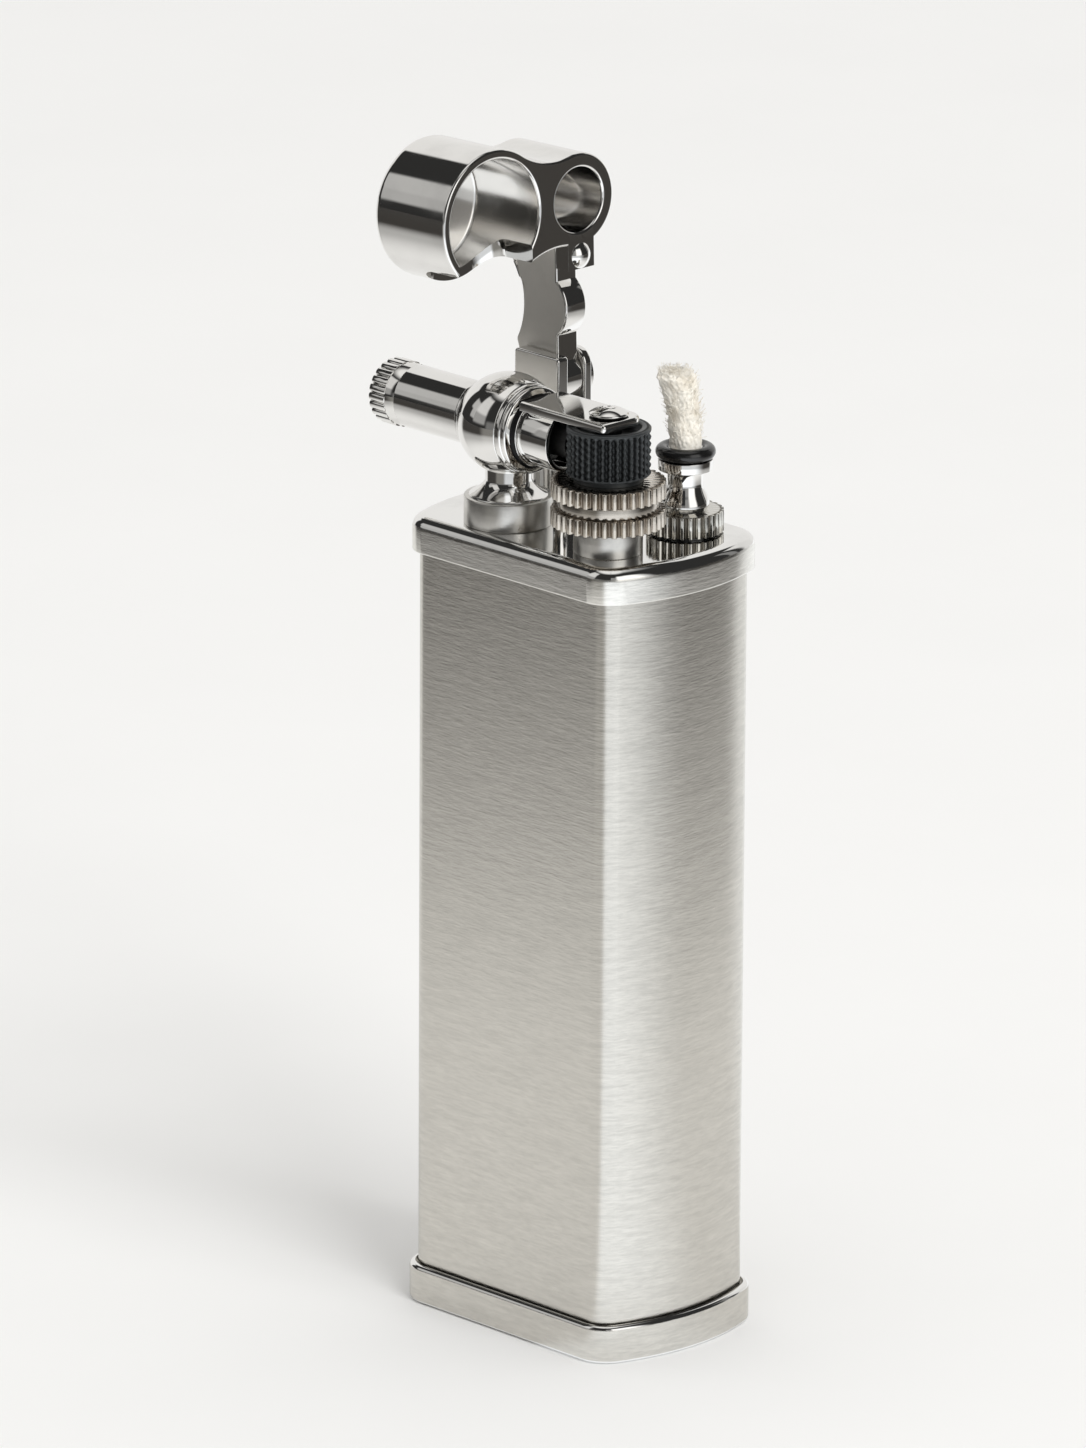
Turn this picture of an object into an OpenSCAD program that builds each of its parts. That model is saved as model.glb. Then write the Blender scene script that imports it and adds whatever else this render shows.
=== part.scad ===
// Slim petrol lighter with a spark wheel under a tongue and a swinging double snuffer.
// It stands upright with the snuffer open. +Z is up, +X runs along the flint tube towards the
// spark wheel, and the wick is on the +Y side. The origin is the centre of the underside.

/* [Case] */
// Length of the case over its two bowed ends
case_l = 22; // [21:0.5:25]
// Width of the case between its two flat sides
case_w = 14.33; // [14:0.1:17]
// How far each end bows out
end_bow = 1.67; // [1.2:0.1:2.2]
// Radius where a flat side meets a bowed end
case_corner_r = 1.85; // [1.4:0.05:2.2]
// Wall of the case, the base cap and the top plate
case_wall = 0.5; // [0.4:0.05:0.7]
// Height of the top plate above the table
plate_z = 57.65; // [50:0.5:66]

/* [Base cap] */
// How far the base cap stands out from the case
base_lip = 0.61; // [0.45:0.02:0.8]
// Height of the base cap
base_h = 2.75; // [2:0.25:4]
// Thickness of the floor of the base cap
base_floor = 0.8; // [0.6:0.1:1.2]
// Rounding of the top edge of the base cap
base_round = 0.35; // [0.2:0.05:0.4]
// Width of the dark line between the case and the base cap
base_groove = 0.12; // [0.06:0.01:0.16]
// Depth of that line
base_groove_h = 0.4; // [0.2:0.05:0.6]

/* [Top cap] */
// How far the top cap stands out from the case
cap_lip = 0.54; // [0.45:0.02:0.8]
// Height of the skirt of the top cap
cap_h = 2.56; // [2:0.1:3.6]
// Thickness of the top plate
plate_t = 0.8; // [0.6:0.1:1.1]
// Rounding of the top edge of the top cap
cap_round = 0.9; // [0.5:0.05:1]

/* [Where the parts stand on the plate] */
// From the middle of the case to the line of the flint tube, towards -Y
tube_side = 3.7; // [3.5:0.05:3.9]
// From the tip of the bowed end to the axis of the spark wheel
wheel_inset = 4.8; // [4.6:0.05:5.2]
// From the axis of the spark wheel back to the centre of the ball
ball_back = 9.85; // [9.4:0.05:10.5]
// From the +Y flat side of the case to the axis of the wick
wick_edge = 3.665; // [3.565:0.05:3.765]
// From the tip of the bowed end to the axis of the wick
wick_inset = 4.55; // [4.4:0.05:4.7]

/* [Ball and its stand] */
// Radius of the ball
ball_r = 3.6; // [3.4:0.05:3.7]
// Height of the flint tube above the plate
tube_rise = 7.1; // [6.9:0.05:7.3]
// Radius of the drum under the ball
drum_r = 3.1; // [2.8:0.05:3.3]
// Height of the drum
drum_h = 2; // [1.7:0.05:2.2]
// Radius at the foot of the flared neck
flare_r = 2.75; // [2.5:0.05:2.8]
// Radius of the neck under the ball
neck_r = 1.62; // [1.4:0.02:1.8]
// Height of the flare
flare_h = 1.15; // [0.9:0.05:1.3]
// Radius of the stud below the plate
stud_r = 1.2; // [1:0.05:1.4]
// Length of each stud below the plate
stud_l = 2.3; // [2:0.1:3]
// Radius of the plate nuts over their corners
nut_r = 2.1; // [1.9:0.05:2.3]
// Height of the plate nuts
nut_h = 1.2; // [1:0.1:1.6]

/* [Flint tube] */
// Outer radius of the rear tube
tube_r = 2.25; // [2.1:0.05:2.3]
// Radius of the flint bore
flint_bore_r = 1.32; // [1.28:0.02:1.4]
// Length of the rear tube behind the centre of the ball
tube_back = 9.25; // [8.5:0.25:10.5]
// Height of the stop ring on the rear tube
stop_ring_h = 0.2; // [0.12:0.02:0.25]
// Width of the stop ring
stop_ring_w = 0.3; // [0.2:0.05:0.5]
// Outer radius of the collar in front of the ball
collar_r = 3.15; // [2.9:0.05:3.2]
// Width of the collar along the tube
collar_w = 1.4; // [1.2:0.05:1.6]
// Depth of the groove round the collar
collar_groove = 0.22; // [0.1:0.02:0.3]

/* [Front barrel and tongue] */
// Outer radius of the front barrel
barrel_r = 2.33; // [2.3:0.01:2.4]
// Length of the barrel in front of the collar
barrel_l = 2.9; // [2.5:0.1:3]
// Depth of the wide mouth of the barrel
mouth_depth = 2.1; // [1.4:0.1:2.2]
// Radius of the wide mouth of the barrel
mouth_r = 2; // [1.7:0.05:2.1]
// Height of the underside of the tongue above the tube axis
tongue_rise = 1.93; // [1.9:0.01:2.05]
// Thickness of the tongue
tongue_t = 0.62; // [0.5:0.02:0.7]
// Width of the tongue
tongue_w = 4.2; // [3.6:0.1:4.3]
// How far the tongue reaches past the axis of the spark wheel
tongue_over = 1.6; // [1.5:0.05:1.9]
// Rounding of the far corner of the tongue
tongue_corner = 1.3; // [0.6:0.05:1.4]

/* [Wheels] */
// Radius of the pillar
pillar_r = 2.4; // [2.2:0.05:2.8]
// Height of the pillar
pillar_h = 1.92; // [1.7:0.02:2]
// Radius of the thumb wheel over its teeth
thumb_r = 4; // [3.8:0.05:4.1]
// Height of each of the two toothed discs
disc_h = 1.17; // [1:0.01:1.3]
// Height of the groove between the discs
disc_gap = 0.82; // [0.6:0.02:0.9]
// Depth of the groove between the discs
disc_groove = 0.45; // [0.3:0.05:0.7]
// Number of teeth on each disc
thumb_teeth = 36; // [28:1:44]
// Depth of the teeth
thumb_tooth = 0.3; // [0.15:0.01:0.4]
// Radius of the spark wheel over its teeth
spark_r = 2.93; // [2.8:0.01:2.98]
// Number of teeth on the spark wheel
spark_teeth = 42; // [34:1:52]
// Depth of the teeth of the spark wheel
spark_tooth = 0.16; // [0.1:0.01:0.25]
// Height of the dark spacer under the spark wheel
spacer_h = 0.42; // [0.3:0.02:0.5]
// Radius of the spacer
spacer_r = 2.45; // [2:0.05:2.6]
// Radius of the hollow in the top of the spark wheel
hollow_r = 2.25; // [1.9:0.05:2.4]
// Depth of the hollow in the top of the spark wheel
hollow_d = 0.45; // [0.3:0.05:0.7]
// Radius of the spindle
spindle_r = 0.9; // [0.8:0.02:1]
// Radius of the head of the spindle
spindle_head_r = 1.33; // [1.2:0.02:1.5]
// Height of the head of the spindle above the tongue
spindle_head_h = 0.7; // [0.5:0.05:0.8]

/* [Flint feed] */
// Radius of the flint
flint_r = 1.25; // [1.2:0.01:1.25]
// Length of the flint
flint_l = 4.6; // [3.5:0.1:5]
// Length of the follower behind the flint
follower_l = 1.6; // [1.2:0.1:2]
// Radius of the knurled head of the flint screw
screw_head_r = 2.35; // [2.25:0.05:2.6]
// Length of the knurled head
screw_head_l = 1.5; // [1.2:0.1:1.8]
// Length of the cone in front of the knurled head
screw_cone_l = 0.8; // [0.6:0.05:1]
// Number of ribs on the flint screw
screw_ribs = 22; // [18:1:28]
// Depth of the ribs
screw_rib = 0.26; // [0.15:0.01:0.35]
// Length of the screw inside the tube
screw_shank_l = 2.4; // [2:0.1:3.5]

/* [Wick holder] */
// Radius of the knurled foot
foot_r = 2.7; // [2.5:0.05:2.8]
// Height of the knurled foot
foot_h = 1.52; // [1.2:0.02:1.7]
// Number of teeth on the foot
foot_teeth = 28; // [24:1:36]
// Depth of the teeth of the foot
foot_tooth = 0.2; // [0.12:0.01:0.25]
// Thickness of the seal under the foot
gasket_t = 0.14; // [0.1:0.01:0.2]
// Radius of the bulge above the foot
bulge_r = 1.7; // [1.6:0.02:1.9]
// Radius of the waist under the flange
waist_r = 1.25; // [1.2:0.01:1.4]
// Height from the foot to the underside of the flange
neck_h = 2.89; // [2.7:0.05:3]
// Radius of the flange
flange_r = 1.93; // [1.85:0.01:2]
// Thickness of the flange
flange_t = 0.73; // [0.6:0.01:0.8]
// Radius of the stem below the plate
stem_r = 1.9; // [1.7:0.05:2]
// Length of the stem below the plate
stem_l = 4; // [3:0.25:5]
// Length of the threaded bush under the plate
bush_l = 2.8; // [2:0.1:3]
// Wall of the bush
bush_wall = 0.8; // [0.6:0.05:0.8]
// Mean radius of the rubber ring
ring_r = 1.6; // [1.58:0.01:1.62]
// Thickness radius of the rubber ring
ring_rr = 0.5; // [0.48:0.01:0.52]
// Radius of the wick
wick_r = 1.12; // [1:0.02:1.2]
// How far the wick stands out of its holder
wick_out = 5.7; // [4:0.1:5.8]
// How far the wick leans over at its top
wick_lean = 0.35; // [0:0.05:0.4]
// How far the wick ends above the floor of the base cap
wick_low = 8; // [4:1:20]
// Gap between the cotton packing and what stands in it
packing_gap = 0.4; // [0.3:0.05:0.6]

/* [Snuffer] */
// Outer radius of the large cup
big_r = 4.93; // [4.85:0.01:5]
// Wall of the large cup
big_wall = 0.68; // [0.5:0.02:0.75]
// Outer radius of the small cup
small_r = 3.3; // [3.2:0.02:3.4]
// Radius inside the small cup
small_in_r = 2.27; // [2.22:0.01:2.4]
// How far the large cup sits off the flint tube line, towards -Y
big_off = 0.85; // [0.7:0.05:0.9]
// How far the large cup sits off the wheel axis, towards +X
big_fwd = 0.25; // [0.1:0.05:0.3]
// Depth of the cups outside
cup_l = 7.2; // [7.1:0.05:7.6]
// Thickness of the closed ends of the cups
cup_floor = 0.8; // [0.6:0.05:0.85]
// Rounding of the closed ends
cup_round = 0.8; // [0.4:0.05:0.9]
// Bevel on the rims of the cups
cup_bevel = 0.12; // [0.05:0.01:0.2]
// Radius of the hollow sides of the web between the cups
web_r = 6; // [4:0.25:8]
// Corner radius of the notch that clears the flint tube
notch_corner = 1.7; // [1:0.05:2]
// Gap between the notch and the barrel
notch_gap = 0.32; // [0.25:0.01:0.45]

/* [Hinge] */
// From the tip of the bowed end to the pivot
pivot_inset = 4.45; // [4.2:0.05:4.7]
// Height of the pivot above the plate
pivot_rise = 8.55; // [8.3:0.05:8.8]
// How far the snuffer swings open
lid_open = 91.7; // [85:0.1:95]
// Thickness of the arm
arm_t = 1.95; // [1.7:0.05:2]
// How far the middle of the arm lies inside the wick axis
arm_in = 0.1; // [0:0.05:0.15]
// Radius of the arm round the pivot
arm_eye_r = 2; // [1.8:0.05:2.05]
// Radius of the pivot screw
pivot_r = 0.8; // [0.7:0.02:1]
// Radius of the head of the pivot screw
pivot_head_r = 1.9; // [1.6:0.05:2]
// Height of the head of the pivot screw
pivot_head_h = 0.8; // [0.5:0.05:1]
// Height of the shoulder of the arm above the pivot, shut
shoulder_h = 2.6; // [2.4:0.05:2.7]
// Height of the cup end of the arm above the pivot, shut
arm_end_h = 3; // [2.7:0.05:3.2]
// Radius of the hollow in the upper edge of the arm
scoop_r = 5.3; // [5:0.1:5.8]
// Height of the arm above the pivot at the bottom of that hollow
scoop_h = 1.88; // [1.7:0.02:2.1]
// Depth of the straight lower edge of the arm below the pivot
arm_under = 1.5; // [1.4:0.02:1.55]
// Radius of the belly under the arm
belly_r = 2.48; // [2.3:0.02:2.7]
// Depth of the belly below the pivot
belly_low = 2.43; // [2.3:0.01:2.5]
// Radius of the rivet
rivet_r = 0.45; // [0.35:0.01:0.5]
// Radius of the head of the rivet
rivet_head_r = 0.92; // [0.8:0.02:1]
// Height of the head of the rivet
rivet_head_h = 0.42; // [0.3:0.02:0.5]
// Depth of the rivet in the arm
rivet_grip = 1.9; // [1.5:0.1:2.2]
// Width of the tab that the rivet holds
tab_w = 2.46; // [2.3:0.02:2.6]

/* [Hinge bracket] */
// Thickness of the front cheek
cheek_t = 1.02; // [0.9:0.02:1.2]
// Thickness of the rear cheek
back_cheek_t = 0.72; // [0.6:0.02:0.8]
// Reach of the cheeks behind the pivot
cheek_back = 1.81; // [1.7:0.01:2]
// Reach of the front cheek in front of the pivot
cheek_front = 2.58; // [2.4:0.02:2.7]
// Height of the cheeks above the pivot
cheek_up = 2.07; // [1.95:0.01:2.2]
// Thickness of the bridge under the cheeks
bridge_t = 0.9; // [0.7:0.05:1.1]
// Radius of the post under the bridge
post_r = 1.7; // [1.5:0.05:1.9]
// Thickness of the leaf spring under the arm
leaf_t = 0.2; // [0.15:0.01:0.25]

/* [Fits] */
// Gap of a turning or sliding fit, on the radius
run_gap = 0.05; // [0.03:0.01:0.08]
// Gap of a fixed fit, on the radius
fit_gap = 0.02; // [0.01:0.005:0.03]

/* [Hidden] */
$fn = 96;
cut = 0.5;

// Layout
wheel_x = case_l / 2 - wheel_inset;
ball_x = wheel_x - ball_back;
wick_x = case_l / 2 - wick_inset;
wick_side = case_w / 2 - wick_edge;
pivot_x = pivot_inset - case_l / 2;
tube_z = plate_z + tube_rise;
pivot_z = plate_z + pivot_rise;
under_z = plate_z - plate_t;
post_x = pivot_x + (cheek_front - cheek_back) / 2;

// Flint tube and tongue
ball_cut = sqrt(ball_r * ball_r - collar_r * collar_r);
collar_x = ball_x + ball_cut;
barrel_x = collar_x + collar_w;
joint_x = collar_x + collar_w / 2;
mouth_x = barrel_x + barrel_l;
ring_seat = sqrt(ball_r * ball_r - (tube_r + stop_ring_h) * (tube_r + stop_ring_h));
tube_end_x = ball_x - tube_back;
tongue_z = tube_z + tongue_rise;
tongue_top = tongue_z + tongue_t;
tongue_end = wheel_x + tongue_over;

// Wheels, from the plate up
pillar_top = plate_z + pillar_h;
thumb_z = pillar_top + run_gap;
thumb_top = thumb_z + 2 * disc_h + disc_gap;
spark_z = thumb_top + spacer_h;
spark_top = tongue_z - 2 * run_gap;
spindle_low = plate_z - stud_l / 2;

// Flint and what pushes it
flint_tip = wheel_x - spark_r - 2 * run_gap;
flint_back = flint_tip - flint_l;
follower_back = flint_back - follower_l;
screw_in = tube_end_x + screw_shank_l;

// Wick holder, from the plate up
foot_z = plate_z + gasket_t;
foot_top = foot_z + foot_h;
flange_z = foot_top + neck_h;
flange_top = flange_z + flange_t;
ring_z = flange_top + ring_rr + fit_gap / 2;
nozzle_r = ring_r - ring_rr - fit_gap;
nozzle_top = ring_z + ring_rr * 0.7;
wick_in_r = nozzle_r - 0.2;

// Cups, drawn shut
mouth_z = ring_z;
big_x = wheel_x + big_fwd;
big_y = -tube_side - big_off;
big_in_r = big_r - big_wall;
cup_step = wick_side - big_y;
cup_skew = atan2(wick_x - big_x, cup_step);
cup_dist = sqrt(cup_step * cup_step + (wick_x - big_x) * (wick_x - big_x));
web_mid = (cup_dist * cup_dist + (big_r + web_r) * (big_r + web_r)
    - (small_r + web_r) * (small_r + web_r)) / (2 * cup_dist);
web_out = sqrt((big_r + web_r) * (big_r + web_r) - web_mid * web_mid);
notch_half = barrel_r + big_off + notch_gap;
notch_h = tongue_top + 1.5 * notch_gap - mouth_z;

// Arm, drawn shut, from the pivot
arm_reach = wick_x - pivot_x;
arm_end = arm_reach - small_r - 3 * fit_gap;
arm_y = wick_side - arm_in;
scoop_x = (1.9 + arm_end - 1.15) / 2;
tab_x = arm_end - 1.55;
rivet_x = tab_x + rivet_head_r;
rivet_y = arm_y + 0.22;
slot_gap = run_gap;
front_y = arm_y - arm_t / 2 - slot_gap - cheek_t;
back_y = arm_y + arm_t / 2 + slot_gap + back_cheek_t;
fork_y = (front_y + back_y) / 2;
screw_tip_y = front_y + cheek_t / 3;
tab_t = pivot_z - arm_under - fit_gap - mouth_z;
leaf_z = pivot_z - arm_eye_r - run_gap - leaf_t;
bridge_z = leaf_z - bridge_t;

// Distance from the middle of the case to the centre of the arc of a bowed end
function bow_r() = (case_w * case_w / 4 + end_bow * end_bow) / (2 * end_bow);

// Outline of the case grown by m, with corner radius r
module case_outline(m, r) {
    half_w = case_w / 2 + m;
    arc_r = bow_r() + m;
    arc_x = case_l / 2 - bow_r();
    corner_y = half_w - r;
    corner_x = arc_x + sqrt((arc_r - r) * (arc_r - r) - corner_y * corner_y);
    far = 1.4;
    square([2 * corner_x, 2 * half_w], center = true);
    for (end = [0, 1]) mirror([end, 0]) {
        for (side = [-1, 1]) translate([corner_x, side * corner_y]) circle(r);
        intersection() {
            translate([arc_x, 0]) circle(arc_r, $fn = 240);
            polygon([[arc_x, 0],
                [arc_x + far * (corner_x - arc_x), -far * corner_y],
                [arc_x + far * (corner_x - arc_x), far * corner_y]]);
        }
    }
}

// Slab with the outline of the case and a rounded top edge
module slab(z0, z1, m, r, edge) {
    skin = 0.01;
    translate([0, 0, z0]) linear_extrude(z1 - z0 - edge) case_outline(m, r);
    hull() for (step = [0 : 4]) {
        turn = 90 * step / 4;
        in = edge * (1 - cos(turn)) + skin;
        translate([0, 0, z1 - edge + edge * sin(turn) - skin]) linear_extrude(skin)
            case_outline(m - in, r - in, $fn = 32);
    }
}

// Puts children on the line of the flint tube, with their own +Z along +X
module on_tube(x) {
    translate([x, -tube_side, tube_z]) rotate([0, 90, 0]) children();
}

// Extrudes an outline drawn in x and z between two values of y
module along_y(y0, y1) {
    translate([0, y1, 0]) rotate([90, 0, 0]) linear_extrude(y1 - y0) children();
}

// Turns children, drawn shut and measured from the pivot, to where the open snuffer is
module swung() {
    translate([pivot_x, 0, pivot_z]) rotate([0, -lid_open, 0]) children();
}

// Disc with n coarse teeth of depth d and slightly broken edges
module toothed(r, h, n, d) {
    edge = d * 0.6;
    intersection() {
        linear_extrude(h) polygon([for (i = [0 : n - 1]) each [
            for (p = [[0, 1], [0.36, 1], [0.56, 0], [0.8, 0]])
                (r - d + d * p[1]) * [cos((i + p[0]) * 360 / n), sin((i + p[0]) * 360 / n)]]]);
        rotate_extrude() polygon([[0, 0], [r - edge, 0], [r, edge], [r, h - edge],
            [r - edge, h], [0, h]]);
    }
}

// Cylinder with both edges broken
module turned(r, h, edge) {
    rotate_extrude() polygon([[0, 0], [r - edge, 0], [r, edge], [r, h - edge],
        [r - edge, h], [0, h]]);
}

// Dome of radius r and height h, flat side down
module dome(r, h) {
    ball = (r * r + h * h) / (2 * h);
    rotate_extrude() intersection() {
        translate([0, h - ball]) circle(ball);
        square([r, h]);
    }
}

// Hexagon nut under the top plate
module plate_nut(x, y) {
    translate([x, y, under_z - nut_h]) difference() {
        cylinder(r = nut_r, h = nut_h, $fn = 6);
        translate([0, 0, -cut]) cylinder(r = stud_r + fit_gap, h = nut_h + 2 * cut);
    }
}

module case_shell() {
    color("silver") translate([0, 0, base_floor + fit_gap]) difference() {
        shell_h = under_z - base_floor - 2 * fit_gap;
        linear_extrude(shell_h) case_outline(0, case_corner_r);
        translate([0, 0, -cut]) linear_extrude(shell_h + 2 * cut)
            case_outline(-case_wall, case_corner_r - case_wall);
    }
}

module base_cap() {
    color("gainsboro") difference() {
        slab(0, base_h, base_lip, case_corner_r + base_lip, base_round);
        translate([0, 0, base_floor]) linear_extrude(base_h)
            case_outline(fit_gap, case_corner_r + fit_gap);
        translate([0, 0, base_h - base_groove_h]) linear_extrude(base_h)
            case_outline(base_groove, case_corner_r + base_groove);
    }
}

module top_cap() {
    color("gainsboro") difference() {
        slab(plate_z - cap_h, plate_z, cap_lip, case_corner_r + cap_lip, cap_round);
        translate([0, 0, under_z - 2 * cap_h]) linear_extrude(2 * cap_h)
            case_outline(fit_gap, case_corner_r + fit_gap);
        for (x = [ball_x, wheel_x]) translate([x, -tube_side, under_z - cut])
            cylinder(r = stud_r + fit_gap, h = plate_t + 2 * cut);
        translate([post_x, fork_y, under_z - cut])
            cylinder(r = stud_r + fit_gap, h = plate_t + 2 * cut);
        translate([wick_x, wick_side, under_z - cut])
            cylinder(r = stem_r + 2 * run_gap, h = plate_t + 2 * cut);
    }
}

module cotton_packing() {
    color("ivory") difference() {
        translate([0, 0, base_floor + run_gap])
            linear_extrude(plate_z - stem_l - packing_gap - base_floor)
            case_outline(-case_wall - packing_gap / 2, case_corner_r - case_wall);
        translate([wick_x, wick_side, wick_low - packing_gap])
            cylinder(r = wick_in_r + packing_gap, h = plate_z);
    }
}

module filler_bush() {
    color("goldenrod") translate([wick_x, wick_side, under_z - bush_l]) difference() {
        cylinder(r = stem_r + bush_wall, h = bush_l);
        translate([0, 0, -cut]) cylinder(r = stem_r + run_gap, h = bush_l + 2 * cut);
    }
}

module stand_drum() {
    color("darkgray") translate([ball_x, -tube_side, plate_z]) difference() {
        turned(drum_r, drum_h, 0.08);
        translate([0, 0, -cut]) cylinder(r = stud_r + fit_gap, h = drum_h + 2 * cut);
    }
}

module ball_stand() {
    flare_z = plate_z + drum_h;
    rim = 0.08;
    color("lightgray") difference() {
        translate([ball_x, -tube_side, 0]) rotate_extrude() {
            translate([0, under_z - stud_l]) square([stud_r, flare_z - under_z + stud_l + rim]);
            polygon(concat([[0, flare_z], [flare_r, flare_z], [flare_r, flare_z + rim]],
                [for (t = [0.1 : 0.1 : 1]) [neck_r + (flare_r - neck_r) * pow(1 - t, 1.7),
                    flare_z + rim + t * (flare_h - rim)]],
                [[neck_r, tube_z - ball_r * 0.6], [0, tube_z - ball_r * 0.6]]));
            intersection() {
                translate([0, tube_z]) circle(ball_r);
                translate([0, tube_z - ball_r]) square(2 * ball_r);
            }
        }
        on_tube(ball_x - 2 * ball_r) cylinder(r = tube_r + fit_gap, h = 4 * ball_r);
        on_tube(collar_x) cylinder(r = 2 * ball_r, h = ball_r);
        on_tube(ball_x - ring_seat - ball_r) cylinder(r = 2 * ball_r, h = ball_r);
    }
}

module stand_nut() { color("goldenrod") plate_nut(ball_x, -tube_side); }

module flint_tube() {
    color("lightgray") difference() {
        union() {
            on_tube(tube_end_x) cylinder(r = tube_r, h = joint_x - tube_end_x - fit_gap);
            on_tube(ball_x - ring_seat - stop_ring_w)
                cylinder(r = tube_r + stop_ring_h, h = stop_ring_w - fit_gap);
        }
        on_tube(tube_end_x - cut)
            cylinder(r = flint_bore_r, h = joint_x - tube_end_x + 2 * cut);
    }
}

module collar_ring() {
    color("gainsboro") on_tube(collar_x + fit_gap) difference() {
        turned(collar_r, collar_w - 2 * fit_gap, 0.15);
        translate([0, 0, -cut]) cylinder(r = tube_r + fit_gap, h = collar_w + 2 * cut);
        translate([0, 0, collar_w * 0.42]) difference() {
            cylinder(r = collar_r + cut, h = collar_w * 0.16);
            translate([0, 0, -cut]) cylinder(r = collar_r - collar_groove, h = collar_w + cut);
        }
    }
}

module wheel_bracket() {
    color("lightgray") difference() {
        union() {
            on_tube(joint_x) cylinder(r = tube_r, h = barrel_x - joint_x + fit_gap);
            on_tube(barrel_x) cylinder(r = barrel_r, h = barrel_l);
            translate([0, 0, tongue_z]) linear_extrude(tongue_t) difference() {
                translate([barrel_x, -tube_side - tongue_w / 2])
                    square([tongue_end - barrel_x, tongue_w]);
                translate([tongue_end, -tube_side + tongue_w / 2]) difference() {
                    square(2 * tongue_corner, center = true);
                    translate([-tongue_corner, -tongue_corner]) circle(tongue_corner);
                }
            }
        }
        on_tube(joint_x - cut) cylinder(r = flint_bore_r, h = barrel_l + collar_w + 2 * cut);
        on_tube(mouth_x - mouth_depth) cylinder(r = mouth_r, h = mouth_depth + fit_gap);
        translate([wheel_x, -tube_side, tongue_z - cut])
            cylinder(r = spindle_r + fit_gap, h = tongue_t + 2 * cut);
        translate([wheel_x, -tube_side, thumb_z])
            cylinder(r = thumb_r + 3 * run_gap, h = thumb_top - thumb_z + 3 * run_gap);
    }
}

module flint_screw() {
    neck_x = tube_end_x - run_gap;
    cone_x = neck_x - screw_cone_l;
    color("lightgray") {
        on_tube(cone_x - screw_head_l)
            toothed(screw_head_r, screw_head_l, screw_ribs, screw_rib);
        on_tube(cone_x) cylinder(r1 = screw_head_r - screw_rib, r2 = tube_r - 0.2, h = screw_cone_l);
        on_tube(cone_x) cylinder(r = flint_bore_r - run_gap, h = screw_in - cone_x);
    }
}

module flint_spring() {
    color("dimgray") on_tube(screw_in + fit_gap) difference() {
        spring_l = follower_back - screw_in - 2 * fit_gap;
        cylinder(r = flint_bore_r - 2 * run_gap, h = spring_l);
        translate([0, 0, -cut]) cylinder(r = flint_bore_r / 2, h = spring_l + 2 * cut);
    }
}

module flint_follower() {
    color("goldenrod") {
        on_tube(follower_back) cylinder(r = flint_bore_r - run_gap, h = follower_l - fit_gap);
        on_tube(follower_back - follower_l / 2)
            cylinder(r = flint_bore_r / 2 - run_gap, h = follower_l);
    }
}

module flint() {
    color("dimgray") on_tube(flint_back) cylinder(r = flint_r, h = flint_l);
}

module wheel_pillar() {
    color("darkgray") translate([wheel_x, -tube_side, 0]) difference() {
        union() {
            translate([0, 0, plate_z]) turned(pillar_r, pillar_h, 0.06);
            translate([0, 0, under_z - stud_l]) cylinder(r = stud_r, h = stud_l + plate_t + cut);
        }
        translate([0, 0, spindle_low]) cylinder(r = spindle_r + fit_gap, h = plate_z);
    }
}

module pillar_nut() { color("goldenrod") plate_nut(wheel_x, -tube_side); }

module thumb_wheel() {
    color("tan") translate([wheel_x, -tube_side, thumb_z]) difference() {
        union() {
            toothed(thumb_r, disc_h, thumb_teeth, thumb_tooth);
            cylinder(r = thumb_r - disc_groove, h = 2 * disc_h + disc_gap);
            translate([0, 0, disc_h + disc_gap])
                toothed(thumb_r, disc_h, thumb_teeth, thumb_tooth);
        }
        translate([0, 0, -cut])
            cylinder(r = spindle_r + run_gap, h = 2 * disc_h + disc_gap + 2 * cut);
    }
}

module wheel_spacer() {
    color("dimgray") translate([wheel_x, -tube_side, thumb_top]) difference() {
        cylinder(r = spacer_r, h = spacer_h);
        translate([0, 0, -cut]) cylinder(r = spindle_r + run_gap, h = spacer_h + 2 * cut);
    }
}

module spark_wheel() {
    color("darkslategray") translate([wheel_x, -tube_side, spark_z]) difference() {
        toothed(spark_r, spark_top - spark_z, spark_teeth, spark_tooth);
        translate([0, 0, spark_top - spark_z - hollow_d]) cylinder(r = hollow_r, h = hollow_d + cut);
        translate([0, 0, -cut])
            cylinder(r = spindle_r + run_gap, h = spark_top - spark_z + 2 * cut);
    }
}

module wheel_spindle() {
    flat = spindle_head_h * 0.25;
    color("lightgray") translate([wheel_x, -tube_side, 0]) {
        translate([0, 0, spindle_low + fit_gap])
            cylinder(r = spindle_r, h = tongue_top - spindle_low);
        translate([0, 0, tongue_top]) cylinder(r = spindle_head_r, h = flat);
        translate([0, 0, tongue_top + flat]) difference() {
            dome(spindle_head_r, spindle_head_h - flat);
            translate([0, 0, spindle_head_h / 2]) cylinder(r = spindle_head_r / 4, h = 1);
        }
    }
}

module wick_gasket() {
    color("dimgray") translate([wick_x, wick_side, plate_z + fit_gap]) difference() {
        cylinder(r = foot_r - thumb_tooth, h = gasket_t - fit_gap);
        translate([0, 0, -cut]) cylinder(r = stem_r + fit_gap, h = gasket_t + 2 * cut);
    }
}

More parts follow.
